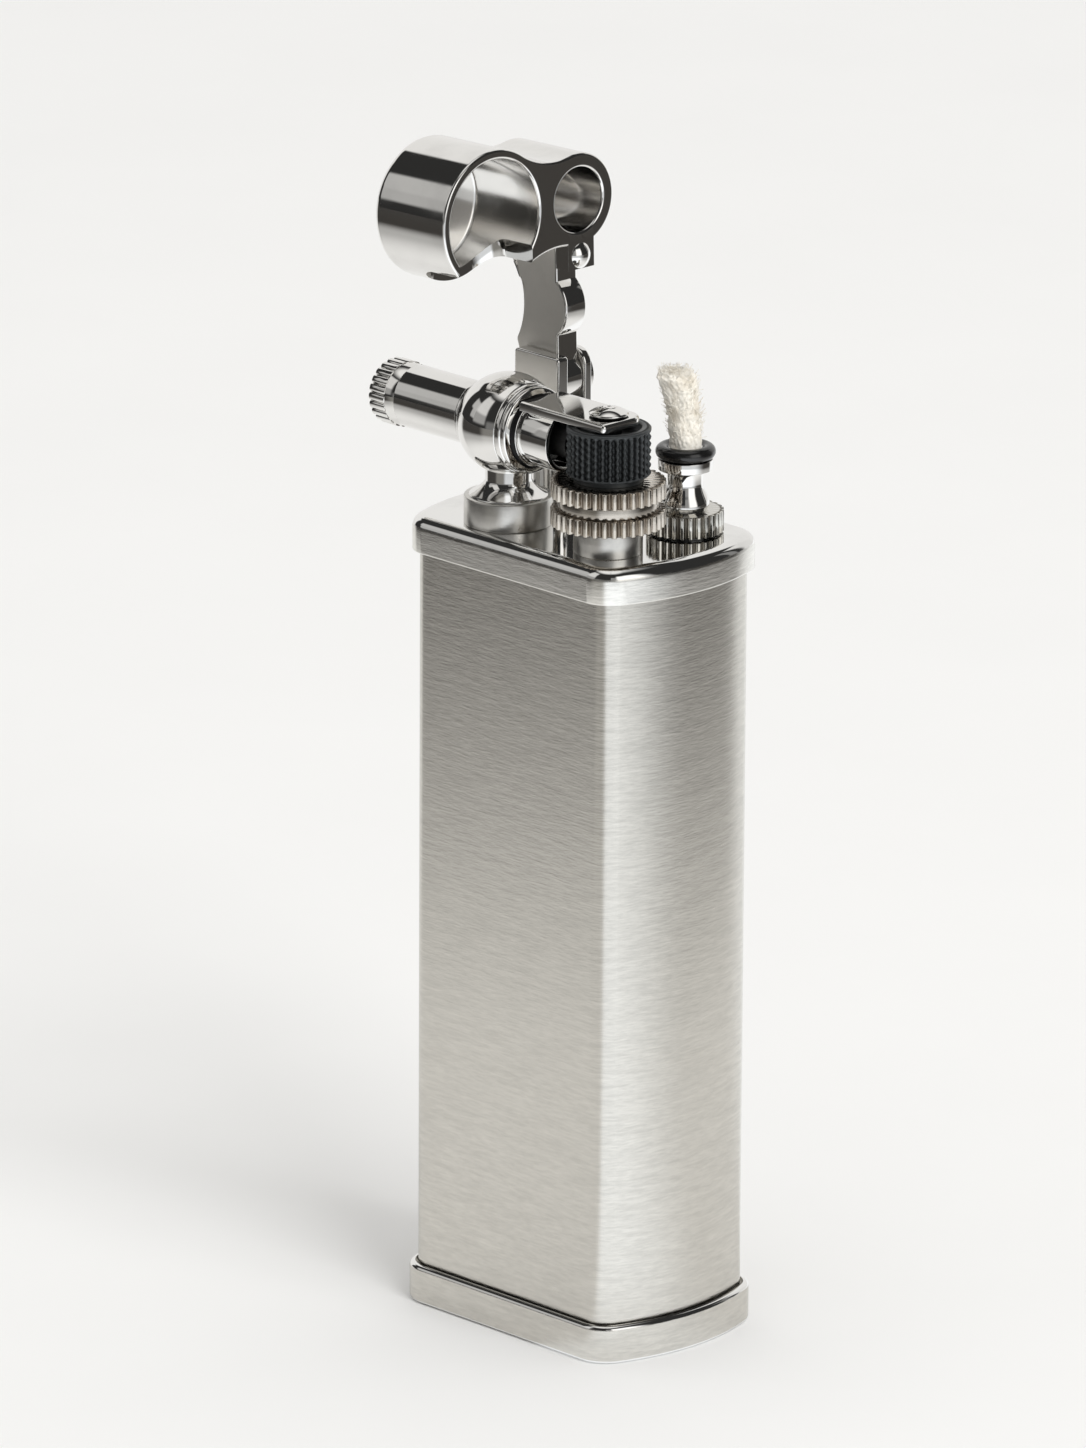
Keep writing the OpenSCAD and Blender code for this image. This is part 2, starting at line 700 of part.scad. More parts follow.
module wick_holder() {
    low = plate_z - stem_l;
    swell = 0.35;
    color("lightgray") translate([wick_x, wick_side, 0]) difference() {
        union() {
            translate([0, 0, low]) cylinder(r = stem_r, h = foot_z - low + fit_gap);
            translate([0, 0, foot_z]) toothed(foot_r, foot_h, foot_teeth, foot_tooth);
            rotate_extrude() polygon(concat(
                [[0, foot_top - swell], [bulge_r - 0.2, foot_top - swell],
                    [bulge_r - 0.2, foot_top]],
                [for (t = [0 : 0.1 : 1]) [waist_r + (bulge_r - waist_r) * (1 + cos(180 * t)) / 2,
                    foot_top + swell + t * (neck_h - swell) * 0.62]],
                [[waist_r + 0.05, flange_z - swell], [waist_r + 0.2, flange_z],
                    [flange_r, flange_z], [flange_r, flange_top], [nozzle_r, flange_top],
                    [nozzle_r, nozzle_top], [0, nozzle_top]]));
        }
        translate([0, 0, low - cut]) cylinder(r = wick_in_r + fit_gap, h = plate_z);
    }
}

module o_ring() {
    color("black") translate([wick_x, wick_side, ring_z]) rotate_extrude()
        translate([ring_r, 0]) circle(ring_rr);
}

module wick() {
    steps = 4;
    color("ivory") translate([wick_x, wick_side, 0]) {
        translate([0, 0, wick_low])
            cylinder(r = wick_in_r, h = nozzle_top + 2 * fit_gap - wick_low);
        for (i = [0 : steps - 1]) hull() for (t = [i / steps, (i + 1) / steps])
            translate([-wick_lean * t * t, -wick_lean * t * t, nozzle_top + fit_gap + wick_out * t])
                translate([0, 0, -0.01]) cylinder(r = wick_r - 0.12 * (1 - t), h = 0.01, $fn = 32);
    }
}

// Cheek of the fork, drawn in x and z, with its top corner rounded by r
module cheek(front, r) {
    x0 = pivot_x - cheek_back;
    x1 = pivot_x + front;
    top = pivot_z + cheek_up;
    translate([x0, bridge_z]) square([x1 - x0, top - r - bridge_z]);
    translate([x0 + r, bridge_z]) square([x1 - x0 - 2 * r, top - bridge_z]);
    for (x = [x0 + r, x1 - r]) translate([x, top - r]) circle(r);
}

module hinge_bracket() {
    color("lightgray") difference() {
        union() {
            along_y(front_y, front_y + cheek_t) cheek(cheek_front, 0.3);
            along_y(back_y - back_cheek_t, back_y) cheek(cheek_front - 0.49, 1.2);
            translate([pivot_x - cheek_back, front_y, bridge_z])
                cube([cheek_back + cheek_front - 0.49, back_y - front_y, bridge_t]);
            translate([post_x, fork_y, plate_z]) cylinder(r = post_r, h = bridge_z - plate_z + fit_gap);
            translate([post_x, fork_y, plate_z]) turned(post_r + 0.4, 0.7, 0.1);
            translate([post_x, fork_y, under_z - stud_l])
                cylinder(r = stud_r, h = stud_l + plate_t + cut);
        }
        translate([pivot_x, screw_tip_y, pivot_z]) rotate([-90, 0, 0])
            cylinder(r = pivot_r + fit_gap, h = back_y - screw_tip_y + cut);
    }
}

module bracket_nut() { color("goldenrod") plate_nut(post_x, fork_y); }

module hinge_screw() {
    flat = pivot_head_h * 0.25;
    color("lightgray") translate([pivot_x, 0, pivot_z]) rotate([-90, 0, 0]) {
        translate([0, 0, screw_tip_y + fit_gap]) cylinder(r = pivot_r, h = back_y - screw_tip_y);
        translate([0, 0, back_y + fit_gap]) cylinder(r = pivot_head_r, h = flat);
        translate([0, 0, back_y + fit_gap + flat]) dome(pivot_head_r, pivot_head_h - flat);
    }
}

module lid_spring() {
    color("dimgray") translate([pivot_x - cheek_back, arm_y - arm_t / 2, leaf_z + fit_gap / 2])
        cube([cheek_back + cheek_front - 0.6, arm_t, leaf_t]);
}

// Side view of the arm, shut and measured from the pivot
module arm_outline() {
    difference() {
        union() {
            circle(arm_eye_r);
            polygon([[0, -arm_under], [arm_reach - small_r / 2, -arm_under],
                [arm_reach - small_r / 2, arm_end_h], [arm_end - 1.3, arm_end_h],
                [scoop_x, shoulder_h], [2.3, shoulder_h], [1.7, shoulder_h - 0.2],
                [0, arm_eye_r]]);
            translate([scoop_x, belly_r - belly_low]) circle(belly_r);
        }
        translate([scoop_x, scoop_h + scoop_r]) circle(scoop_r);
    }
}

module lid_arm() {
    color("gray") swung() difference() {
        along_y(arm_y - arm_t / 2, arm_y + arm_t / 2) arm_outline();
        translate([0, arm_y - arm_t, 0]) rotate([-90, 0, 0])
            cylinder(r = pivot_r + run_gap, h = 2 * arm_t);
        translate([arm_reach, wick_side, -2 * cup_l]) cylinder(r = small_r + 3 * fit_gap, h = 4 * cup_l);
        translate([rivet_x, rivet_y, -2 * arm_under])
            cylinder(r = rivet_r + fit_gap, h = arm_under + rivet_grip);
    }
}

// Outside of a cup of radius r, mouth down
module cup_body(r) {
    rotate_extrude() {
        polygon([[0, 0], [r - cup_bevel, 0], [r, cup_bevel], [r, cup_l - cup_round],
            [0, cup_l - cup_round]]);
        square([r - cup_round, cup_l]);
        intersection() {
            translate([r - cup_round, cup_l - cup_round]) circle(cup_round);
            square([r, cup_l]);
        }
    }
}

// Inside of a cup of radius r, with its rim bevelled
module cup_hollow(r) {
    translate([0, 0, -cut]) cylinder(r = r, h = cup_l - cup_floor + cut);
    translate([0, 0, -fit_gap]) cylinder(r1 = r + cup_bevel + fit_gap, r2 = r, h = cup_bevel + fit_gap);
}

// Web between the cups, drawn in by s
module web_outline(s) {
    difference() {
        polygon([[0, 0], [web_out, web_mid], [0, cup_dist], [-web_out, web_mid]]);
        for (x = [-web_out, web_out]) translate([x, web_mid]) circle(web_r + s, $fn = 180);
    }
}

module snuffer_cups() {
    steps = 4;
    color("silver") swung() translate([big_x - pivot_x, big_y, mouth_z - pivot_z]) difference() {
        union() {
            cup_body(big_r);
            rotate([0, 0, -cup_skew]) {
                linear_extrude(cup_l - cup_round) web_outline(0);
                for (i = [1 : steps]) linear_extrude(cup_l - cup_round + cup_round * sin(90 * i / steps))
                    web_outline(cup_round * (1 - cos(90 * (i - 0.5) / steps)));
                translate([0, cup_dist, 0]) cup_body(small_r);
            }
            translate([pivot_x - big_x + tab_x, rivet_y - tab_w / 2 - big_y, 0])
                cube([arm_reach - tab_x, tab_w, tab_t]);
        }
        cup_hollow(big_in_r);
        rotate([0, 0, -cup_skew]) translate([0, cup_dist, 0]) cup_hollow(small_in_r);
        translate([-2 * big_r, 0, 0]) rotate([90, 0, 90]) linear_extrude(2 * big_r - big_r * 0.3) {
            translate([-notch_half, -cut]) square([2 * notch_half, notch_h - notch_corner + cut]);
            translate([notch_corner - notch_half, 0])
                square([2 * (notch_half - notch_corner), notch_h]);
            for (side = [-1, 1]) translate([side * (notch_half - notch_corner), notch_h - notch_corner])
                circle(notch_corner);
        }
        translate([pivot_x - big_x + rivet_x, rivet_y - big_y, -cut])
            cylinder(r = rivet_r + fit_gap, h = tab_t + 2 * cut);
    }
}

module arm_rivet() {
    color("gainsboro") swung() translate([rivet_x, rivet_y, mouth_z - pivot_z]) {
        cylinder(r = rivet_r, h = tab_t + rivet_grip);
        mirror([0, 0, 1]) dome(rivet_head_r, rivet_head_h);
    }
}

case_shell();
base_cap();
top_cap();
cotton_packing();
filler_bush();
stand_drum();
ball_stand();
stand_nut();
flint_tube();
collar_ring();
wheel_bracket();
flint_screw();
flint_spring();
flint_follower();
flint();
wheel_pillar();
pillar_nut();
thumb_wheel();
wheel_spacer();
spark_wheel();
wheel_spindle();
wick_gasket();
wick_holder();
o_ring();
wick();
hinge_bracket();
bracket_nut();
hinge_screw();
lid_spring();
lid_arm();
snuffer_cups();
arm_rivet();
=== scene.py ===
# %% [markdown]
# # A slim petrol lighter, dressed for a studio photograph
# The exact parts of the lighter are already packed as a model with joints. This lesson loads that
# model as a fixed frame and builds smooth, softly bevelled pieces over it, because a polished
# surface shows every flat facet and every sharp edge that a drawing leaves out.

# %% Load the frame and keep its size
import math
import random

import bmesh
import bpy
from mathutils import Matrix, Vector, noise


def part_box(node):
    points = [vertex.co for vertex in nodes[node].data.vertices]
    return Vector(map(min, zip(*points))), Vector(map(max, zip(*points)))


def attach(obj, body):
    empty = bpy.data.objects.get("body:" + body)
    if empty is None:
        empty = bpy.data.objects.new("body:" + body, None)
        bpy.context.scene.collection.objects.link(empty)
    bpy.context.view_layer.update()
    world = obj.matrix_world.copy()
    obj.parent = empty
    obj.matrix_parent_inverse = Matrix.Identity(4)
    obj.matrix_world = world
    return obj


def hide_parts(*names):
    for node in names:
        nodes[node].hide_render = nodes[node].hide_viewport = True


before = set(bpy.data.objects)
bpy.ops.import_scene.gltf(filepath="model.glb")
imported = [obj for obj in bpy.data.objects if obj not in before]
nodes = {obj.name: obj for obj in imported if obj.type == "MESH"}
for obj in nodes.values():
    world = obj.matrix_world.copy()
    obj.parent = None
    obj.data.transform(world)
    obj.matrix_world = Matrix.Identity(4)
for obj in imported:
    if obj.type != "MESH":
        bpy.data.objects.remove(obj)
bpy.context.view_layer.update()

# %% [markdown]
# ## Sizes in millimetres
# The parts are small, so the lesson counts in millimetres and scales each mesh once, at the end.
# The places come from the frame itself: the box of a node says where its axis and its ends are.

# %% Places read from the frame
MM = 0.001


def low(node):
    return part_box(node)[0] / MM


def high(node):
    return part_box(node)[1] / MM


def mid(node):
    return (low(node) + high(node)) / 2


plate_z = high("top_cap").z
wheel_at = mid("spark_wheel")
tube_at = mid("flint_tube")
ball_x = mid("stand_drum").x
wick_at = mid("o_ring")
pivot = Vector((mid("hinge_screw").x, 0, mid("hinge_screw").z))
print("plate at", round(plate_z, 2), "tube axis at y, z", round(tube_at.y, 2), round(tube_at.z, 2))
print("pivot at x, z", round(pivot.x, 2), round(pivot.z, 2), "ball at x", round(ball_x, 2))

# %% [markdown]
# ## Shader maths as expressions
# A procedural finish is mostly arithmetic on coordinates. Wrapping a socket in a small class lets
# that arithmetic be written as an expression, and each operator adds its Math node. Every other
# node comes from one method, which takes the node's settings first and then its inputs.

# %% A socket that can be added and multiplied
class Field:
    def __init__(self, finish, socket):
        self.finish, self.socket = finish, socket

    def math(self, operation, other, swap=False):
        first, second = (other, self) if swap else (self, other)
        return self.finish.node("Math", {"operation": operation}, {0: first, 1: second})

    def __add__(self, other): return self.math("ADD", other)
    def __radd__(self, other): return self.math("ADD", other, True)
    def __sub__(self, other): return self.math("SUBTRACT", other)
    def __rsub__(self, other): return self.math("SUBTRACT", other, True)
    def __mul__(self, other): return self.math("MULTIPLY", other)
    def __rmul__(self, other): return self.math("MULTIPLY", other, True)
    def __truediv__(self, other): return self.math("DIVIDE", other)


print("sockets now take + - * and /")

# %% A finish, which owns one material and its nodes
class Finish:
    def __init__(self, name):
        self.material = bpy.data.materials.new(name)
        self.material.use_nodes = True
        self.tree = self.material.node_tree
        self.tree.nodes.clear()
        self.place = self.node("TexCoord", {}, {}, out="Object")  # the piece's own coordinates

    def node(self, kind, settings, inputs, out=0):
        made = self.tree.nodes.new("ShaderNode" + kind)
        for name, value in settings.items():
            setattr(made, name, value)
        for name, value in inputs.items():
            if isinstance(value, Field):
                self.tree.links.new(value.socket, made.inputs[name])
            else:
                made.inputs[name].default_value = value
        return Field(self, made.outputs[out])

    def stretched(self, scale, turn=(0, 0, 0)):
        return self.node("Mapping", {}, {"Vector": self.place, "Scale": scale, "Rotation": turn})

    def speckle(self, scale, detail=3, rough=0.5, where=None):
        return self.node("TexNoise", {}, {"Vector": where or self.place, "Scale": scale,
                                          "Detail": detail, "Roughness": rough})

    def clamp(self, value, low_end, high_end, to_low=0.0, to_high=1.0):
        return self.node("MapRange", {"interpolation_type": "SMOOTHSTEP"},
                         {"Value": value, "From Min": low_end, "From Max": high_end,
                          "To Min": to_low, "To Max": to_high})

    def mix(self, share, first, second):
        return self.node("Mix", {"data_type": "RGBA"}, {"Factor": share, 6: first, 7: second},
                         out=2)

    def bump(self, height, strength, distance):
        return self.node("Bump", {}, {"Height": height, "Strength": strength, "Distance": distance},
                         out="Normal")

    def surface(self, **inputs):
        names = {"base": "Base Color", "metal": "Metallic", "rough": "Roughness",
                 "normal": "Normal", "sheen": "Sheen Weight", "specular": "Specular IOR Level"}
        sockets = {names[word]: value for word, value in inputs.items()}
        self.node_output(self.node("BsdfPrincipled", {}, sockets, out="BSDF"))
        return self.material

    def node_output(self, shader):
        end = self.tree.nodes.new("ShaderNodeOutputMaterial")
        self.tree.links.new(shader.socket, end.inputs["Surface"])


print("shader helpers ready")

# %% [markdown]
# ## Polished nickel
# The ball, the tubes and the cups are nickel plate over brass, polished to a mirror. A perfect
# mirror looks false, so two things are added: a very shallow waviness left by the polishing wheel,
# which bends reflected edges, and faint smears of wear that raise the roughness in patches.

# %% The bright plate and its satin and worn variants
def bright_plate(name, tint, shine, wave, smear):
    f = Finish(name)
    worn = f.clamp(f.speckle(260, 5, 0.6), 0.45, 0.75)
    ripple = f.speckle(150, 1, 0.4)
    hair = f.speckle(1, 2, 0.5, f.stretched((500, 2600, 700), (0.4, 0.2, 0.7)))  # wiping marks
    rough = shine + worn * smear
    shade = f.mix(worn, (*tint, 1), (*[c * 0.93 for c in tint], 1))
    return f.surface(base=shade, metal=1.0, rough=rough,
                     normal=f.bump(ripple * wave + hair * 0.002, 1.0, 0.0001))


mirror_nickel = bright_plate("mirror_nickel", (0.82, 0.81, 0.79), 0.045, 0.12, 0.08)
plate_mirror = bright_plate("plate_mirror", (0.84, 0.835, 0.82), 0.05, 0.05, 0.05)
satin_inside = bright_plate("satin_inside", (0.80, 0.785, 0.76), 0.14, 0.25, 0.12)
arm_flat = bright_plate("arm_flat", (0.74, 0.72, 0.68), 0.46, 0.06, 0.10)
print("bright plate made in three grades")

# %% [markdown]
# ## Brushed case
# The drawn case is brushed round its girth, so the grain is long in x and y and very fine in z.
# Stretching one noise that way gives the lines, which go into the roughness, the colour and a
# shallow bump together, as they do on real brushed metal.

# %% Brushed steel
def brushed(name, tint, rough_mid):
    f = Finish(name)
    grain = f.speckle(1, 3, 0.6, f.stretched((1100, 1100, 6500)))
    band = f.speckle(1, 3, 0.6, f.stretched((300, 300, 2600)))
    cloud = f.speckle(70, 3, 0.5)
    tone = f.clamp(grain * 0.55 + band * 0.45, 0.25, 0.75)
    shade = f.mix(tone, (*[c * 0.86 for c in tint], 1), (*[min(1, c * 1.11) for c in tint], 1))
    rough = rough_mid + (grain - 0.5) * 0.12 + (cloud - 0.5) * 0.06
    return f.surface(base=shade, metal=1.0, rough=rough, normal=f.bump(grain + band, 0.6, 0.000014))


brushed_case = brushed("brushed_case", (0.61, 0.59, 0.546), 0.24)
brushed_rim = brushed("brushed_rim", (0.76, 0.745, 0.705), 0.20)
print("brushed grades made")

# %% [markdown]
# ## Turned and toothed metal
# The drum and the pillar were left as the lathe cut them, with fine rings up their sides. The
# toothed wheels are older nickel: dark where dirt stays between the teeth and bright on their
# tips. The distance from the wheel's own axis says which is which, so the axis is passed in.

# %% Lathe rings
def turned_satin(name, tint, rough_mid):
    f = Finish(name)
    rings = f.speckle(1, 3, 0.6, f.stretched((200, 200, 7000)))
    cloud = f.speckle(600, 4, 0.6)
    shade = f.mix(f.clamp(cloud, 0.35, 0.7), (*[c * 0.82 for c in tint], 1), (*tint, 1))
    return f.surface(base=shade, metal=1.0, rough=rough_mid + (cloud - 0.5) * 0.15,
                     normal=f.bump(rings, 0.5, 0.000012))


print("lathe rings ready")

# %% Worn teeth: dark at the root, bright at the tip
def distance_from(f, axis_at):
    centred = f.node("Mapping", {}, {"Vector": f.place,
                                     "Location": (-axis_at.x * MM, -axis_at.y * MM, 0),
                                     "Scale": (1, 1, 0)})
    return f.node("VectorMath", {"operation": "LENGTH"}, {0: centred}, out="Value") / MM


def worn_teeth(name, axis_at, tip_r, depth, tip, root, rough_tip, rough_root, metal=1.0):
    f = Finish(name)
    reach = distance_from(f, axis_at)
    height = f.clamp(reach, tip_r - depth, tip_r - depth * 0.3)
    face = f.clamp(reach, tip_r - depth * 1.5, tip_r - depth * 1.15, 1.0, 0.0)  # inside the roots
    height = height.math("MAXIMUM", face)
    grit = f.speckle(1500, 4, 0.6)
    share = height * (0.55 + grit * 0.9)
    shade = f.mix(f.clamp(share, 0.1, 0.95), (*root, 1), (*tip, 1))
    rough = rough_root + height * (rough_tip - rough_root) + (grit - 0.5) * 0.2
    return f.surface(base=shade, metal=metal, rough=rough, normal=f.bump(grit, 0.4, 0.00003))


print("worn teeth ready")

# %% Turned, toothed and blackened metal
thumb_r, foot_r, spark_r = 4.0, 2.7, 2.93
turned_drum = turned_satin("turned_drum", (0.74, 0.725, 0.69), 0.30)
# painted shade: a near-black finish for the collar's band by the barrel and the ring under the
# spindle's head
painted_shade_black = turned_satin("painted_shade_black", (0.03, 0.03, 0.03), 0.5)
warm_groove = turned_satin("warm_groove", (0.56, 0.52, 0.465), 0.18)
thumb_nickel = worn_teeth("thumb_nickel", wheel_at, thumb_r, 0.34, (0.56, 0.515, 0.455),
                          (0.22, 0.185, 0.15), 0.15, 0.34)
foot_nickel = worn_teeth("foot_nickel", wick_at, foot_r, 0.22, (0.60, 0.585, 0.545),
                         (0.17, 0.155, 0.13), 0.12, 0.34)
black_steel = worn_teeth("black_steel", wheel_at, spark_r, 0.24, (0.055, 0.06, 0.063),
                         (0.010, 0.011, 0.012), 0.38, 0.60, 0.55)
print("turned, toothed and blackened metal made")

# %% [markdown]
# ## Rubber, cotton and the hidden pieces
# The sealing ring is smooth moulded rubber with a clear highlight. The wick is loose cotton, so its
# colour varies softly and nothing on it shines. The pieces inside are plain brass and steel.

# %% Soft and inner finishes
def ring_rubber():
    f = Finish("ring_rubber")
    dust = f.speckle(900, 3, 0.6)
    shade = f.mix(f.clamp(dust, 0.5, 0.8), (0.008, 0.008, 0.008, 1), (0.016, 0.016, 0.016, 1))
    return f.surface(base=shade, rough=0.12 + dust * 0.12, specular=0.6,
                     normal=f.bump(dust, 0.15, 0.00002))


def cotton(name, pale, shaded):
    f = Finish(name)
    tuft = f.speckle(900, 5, 0.65)
    strand = f.speckle(1, 4, 0.6, f.stretched((2400, 2400, 500)))
    shade = f.mix(f.clamp(tuft * 0.6 + strand * 0.4, 0.36, 0.6), (*shaded, 1), (*pale, 1))
    return f.surface(base=shade, rough=0.95, sheen=0.3, normal=f.bump(strand + tuft, 0.7, 0.00006))


def plain_metal(name, tint, rough_mid):
    f = Finish(name)
    cloud = f.speckle(500, 4, 0.6)
    shade = f.mix(cloud, (*[c * 0.8 for c in tint], 1), (*tint, 1))
    return f.surface(base=shade, metal=1.0, rough=rough_mid + cloud * 0.15,
                     normal=f.bump(cloud, 0.2, 0.00003))


rubber = ring_rubber()
wick_cotton = cotton("wick_cotton", (0.88, 0.85, 0.78), (0.72, 0.67, 0.58))
packing_cotton = cotton("packing_cotton", (0.86, 0.84, 0.79), (0.74, 0.71, 0.65))
inner_brass = plain_metal("inner_brass", (0.72, 0.55, 0.28), 0.28)
spring_steel = plain_metal("spring_steel", (0.42, 0.42, 0.42), 0.32)
flint_grey = plain_metal("flint_grey", (0.10, 0.10, 0.10), 0.55)
print("soft and inner finishes made")

# %% [markdown]
# ## Drawing tools
# Nearly everything on a lighter is either turned on a lathe or cut from a flat outline. A lathe
# piece is a half profile with its corners rounded, spun once round its axis. An outline is drawn
# like a pen on paper, with straight runs and arcs that continue each other without a corner.

# %% Lathe: each point is a radius, a height and, where its corner is rounded, the rounding
def wire(bm, points):
    verts = [bmesh.ops.create_vert(bm, co=(p[0], 0, p[1]))["vert"][0] for p in points]
    hollow = points[0][0] > 0 and points[-1][0] > 0
    for first, second in zip(verts, verts[1:] + verts[:1] if hollow else verts[1:]):
        bmesh.ops.contextual_create(bm, geom=[first, second])
    sizes = {}
    for vert, p in zip(verts, points):
        if len(p) > 2 and len(vert.link_edges) > 1:
            sizes.setdefault(p[2], []).append(vert)
    for size, chosen in sizes.items():
        bmesh.ops.bevel(bm, geom=chosen, offset=size, offset_type="OFFSET", segments=4,
                        profile=0.5, affect="VERTICES", material=-1)


def lathe(points, steps=128):
    bm = bmesh.new()
    wire(bm, points)
    bmesh.ops.spin(bm, geom=bm.verts[:] + bm.edges[:], cent=(0, 0, 0), axis=(0, 0, 1),
                   angle=2 * math.pi, steps=steps, use_merge=True)
    bmesh.ops.remove_doubles(bm, verts=bm.verts[:], dist=1e-5)
    return bm


def tube_wall(inner, outer, z0, z1, steps=128):
    return lathe([(inner, z0), (outer, z0), (outer, z1), (inner, z1)], steps)


def circle_points(radius, start, end, steps, centre=(0, 0)):
    turns = [math.radians(start + (end - start) * i / steps) for i in range(steps + 1)]
    return [(centre[0] + radius * math.cos(t), centre[1] + radius * math.sin(t)) for t in turns]


print("lathe ready")

# %% Pen
class Pen:
    def __init__(self, x, y, heading=0):
        self.bm = bmesh.new()
        self.tip = bmesh.ops.create_vert(self.bm, co=(x, y, 0))["vert"][0]
        self.heading = math.radians(heading)

    def run(self, length):
        made = bmesh.ops.extrude_vert_indiv(self.bm, verts=[self.tip])["verts"]
        step = Vector((math.cos(self.heading), math.sin(self.heading), 0)) * length
        bmesh.ops.translate(self.bm, verts=made, vec=step)
        self.tip = made[0]
        return self

    def turn(self, angle):
        self.heading += math.radians(angle)
        return self

    def arc(self, radius, turn, steps=24):
        side = Vector((-math.sin(self.heading), math.cos(self.heading), 0))
        centre = self.tip.co + side * math.copysign(radius, turn)
        made = bmesh.ops.spin(self.bm, geom=[self.tip], cent=centre, axis=(0, 0, 1),
                              angle=math.radians(turn), steps=steps)
        self.tip = made["geom_last"][0]
        self.heading += math.radians(turn)
        return self

    def fill(self):
        bmesh.ops.remove_doubles(self.bm, verts=self.bm.verts[:], dist=1e-3)
        bmesh.ops.contextual_create(self.bm, geom=self.bm.edges[:])
        bmesh.ops.recalc_face_normals(self.bm, faces=self.bm.faces[:])
        return self.bm


print("pen ready")

# %% Solid from an outline
def raise_up(bm, z0, z1):
    made = bmesh.ops.extrude_face_region(bm, geom=bm.faces[:])["geom"]
    top = [g for g in made if isinstance(g, bmesh.types.BMVert)]
    bmesh.ops.translate(bm, verts=top, vec=(0, 0, z1 - z0))
    bmesh.ops.translate(bm, verts=bm.verts[:], vec=(0, 0, z0))
    bmesh.ops.recalc_face_normals(bm, faces=bm.faces[:])
    return bm


def rim_edges(bm, z):
    return [e for e in bm.edges if all(abs(v.co.z - z) < 1e-4 for v in e.verts)]


def round_rim(bm, z, size, segments=6):
    bmesh.ops.bevel(bm, geom=rim_edges(bm, z), offset=size, offset_type="OFFSET",
                    segments=segments, profile=0.5, affect="EDGES", material=-1)
    return bm


print("outlines can be raised and rounded")

# %% Block and disc
def block(low_corner, high_corner):
    bm = bmesh.new()
    bmesh.ops.create_cube(bm, size=1)
    size = [b - a for a, b in zip(low_corner, high_corner)]
    bmesh.ops.scale(bm, vec=size, verts=bm.verts[:])
    middle = [(a + b) / 2 for a, b in zip(low_corner, high_corner)]
    bmesh.ops.translate(bm, vec=middle, verts=bm.verts[:])
    return bm


def disc(radius, x, y, z0, z1, steps=128):
    bm = bmesh.new()
    bmesh.ops.create_circle(bm, cap_ends=True, segments=steps, radius=radius)
    bmesh.ops.translate(bm, vec=(x, y, 0), verts=bm.verts[:])
    return raise_up(bm, z0, z1)


print("block and disc ready")

# %% Toothed wheel
# One tooth as pairs: how far along its pitch, and how deep, from 0 at the tip to 1 at the root.
flat_teeth = [(0, 0), (0.36, 0), (0.56, 1), (0.8, 1)]
round_ribs = [(0, 1), (0.05, 0.62), (0.13, 0.28), (0.26, 0.06), (0.4, 0), (0.6, 0), (0.74, 0.06),
              (0.87, 0.28), (0.95, 0.62)]


def toothed(radius, inner, height, teeth, depth, profile=flat_teeth):
    bm = bmesh.new()
    for part, sunk in profile:
        turn = 2 * math.pi * part / teeth
        reach = radius - depth * sunk
        bmesh.ops.create_vert(bm, co=(reach * math.cos(turn), reach * math.sin(turn), 0))
    verts = bm.verts[:]
    for first, second in zip(verts, verts[1:]):
        bmesh.ops.contextual_create(bm, geom=[first, second])
    bmesh.ops.spin(bm, geom=bm.verts[:] + bm.edges[:], cent=(0, 0, 0), axis=(0, 0, 1),
                   angle=2 * math.pi * (teeth - 1) / teeth, steps=teeth - 1, use_duplicate=True)
    around = sorted(bm.verts, key=lambda v: math.atan2(v.co.y, v.co.x) % (2 * math.pi - 1e-6))
    for first, second in zip(around, around[1:] + around[:1]):
        if not bm.edges.get((first, second)):
            bmesh.ops.contextual_create(bm, geom=[first, second])
    if inner:
        bmesh.ops.create_circle(bm, segments=len(around), radius=inner)
        bmesh.ops.bridge_loops(bm, edges=bm.edges[:])
    else:
        bmesh.ops.contextual_create(bm, geom=bm.edges[:])
    return raise_up(bm, 0, height)


print("toothed wheel ready, tooth shapes of", len(flat_teeth), "and", len(round_ribs), "points")

# %% [markdown]
# ## Handing a mesh over as a piece
# Every piece ends the same way: doubled points merged, normals outward, scaled from millimetres, a
# small bevel on what is still sharp, and then its finish and body. Weighted normals come last, so
# that a flat face mirrors as a flat face and only the edge itself looks round. Where a piece has
# two finishes, a test on each face says which of them takes the second one.

# %% Places to put a mesh
along_tube = Matrix.Translation((0, tube_at.y, tube_at.z)) @ Matrix.Rotation(math.pi / 2, 4, "Y")


def on_tube(x):
    return Matrix.Translation((x, 0, 0)) @ along_tube


def standing(place, z=0):
    return Matrix.Translation((place.x, place.y, z))


def placed(bm, place):
    bmesh.ops.transform(bm, matrix=place, verts=bm.verts[:])
    return bm


print("tube axis at height", round(tube_at.z, 2), "mm")

# %% Joined meshes, plain objects and a second finish
def join(first, *others):
    for other in others:
        mesh = bpy.data.meshes.new("joining")
        other.to_mesh(mesh)
        other.free()
        first.from_mesh(mesh)
        bpy.data.meshes.remove(mesh)
    return first


def raw_object(name, bm):
    mesh = bpy.data.meshes.new(name)
    bm.to_mesh(mesh)
    bm.free()
    made = bpy.data.objects.new(name, mesh)
    bpy.context.scene.collection.objects.link(made)
    return made


def second_finish(bm, where):
    for face in bm.faces:
        face.material_index = int(where(face))
    return bm


print("meshes can be joined and take two finishes")

# %% Piece maker
def soften(made, edge):
    if edge:
        bevel = made.modifiers.new("edges", "BEVEL")
        bevel.width, bevel.segments = edge * MM, 3
        bevel.limit_method, bevel.angle_limit = "ANGLE", math.radians(32)
    weighted = made.modifiers.new("normals", "WEIGHTED_NORMAL")
    weighted.keep_sharp, weighted.weight = False, 90


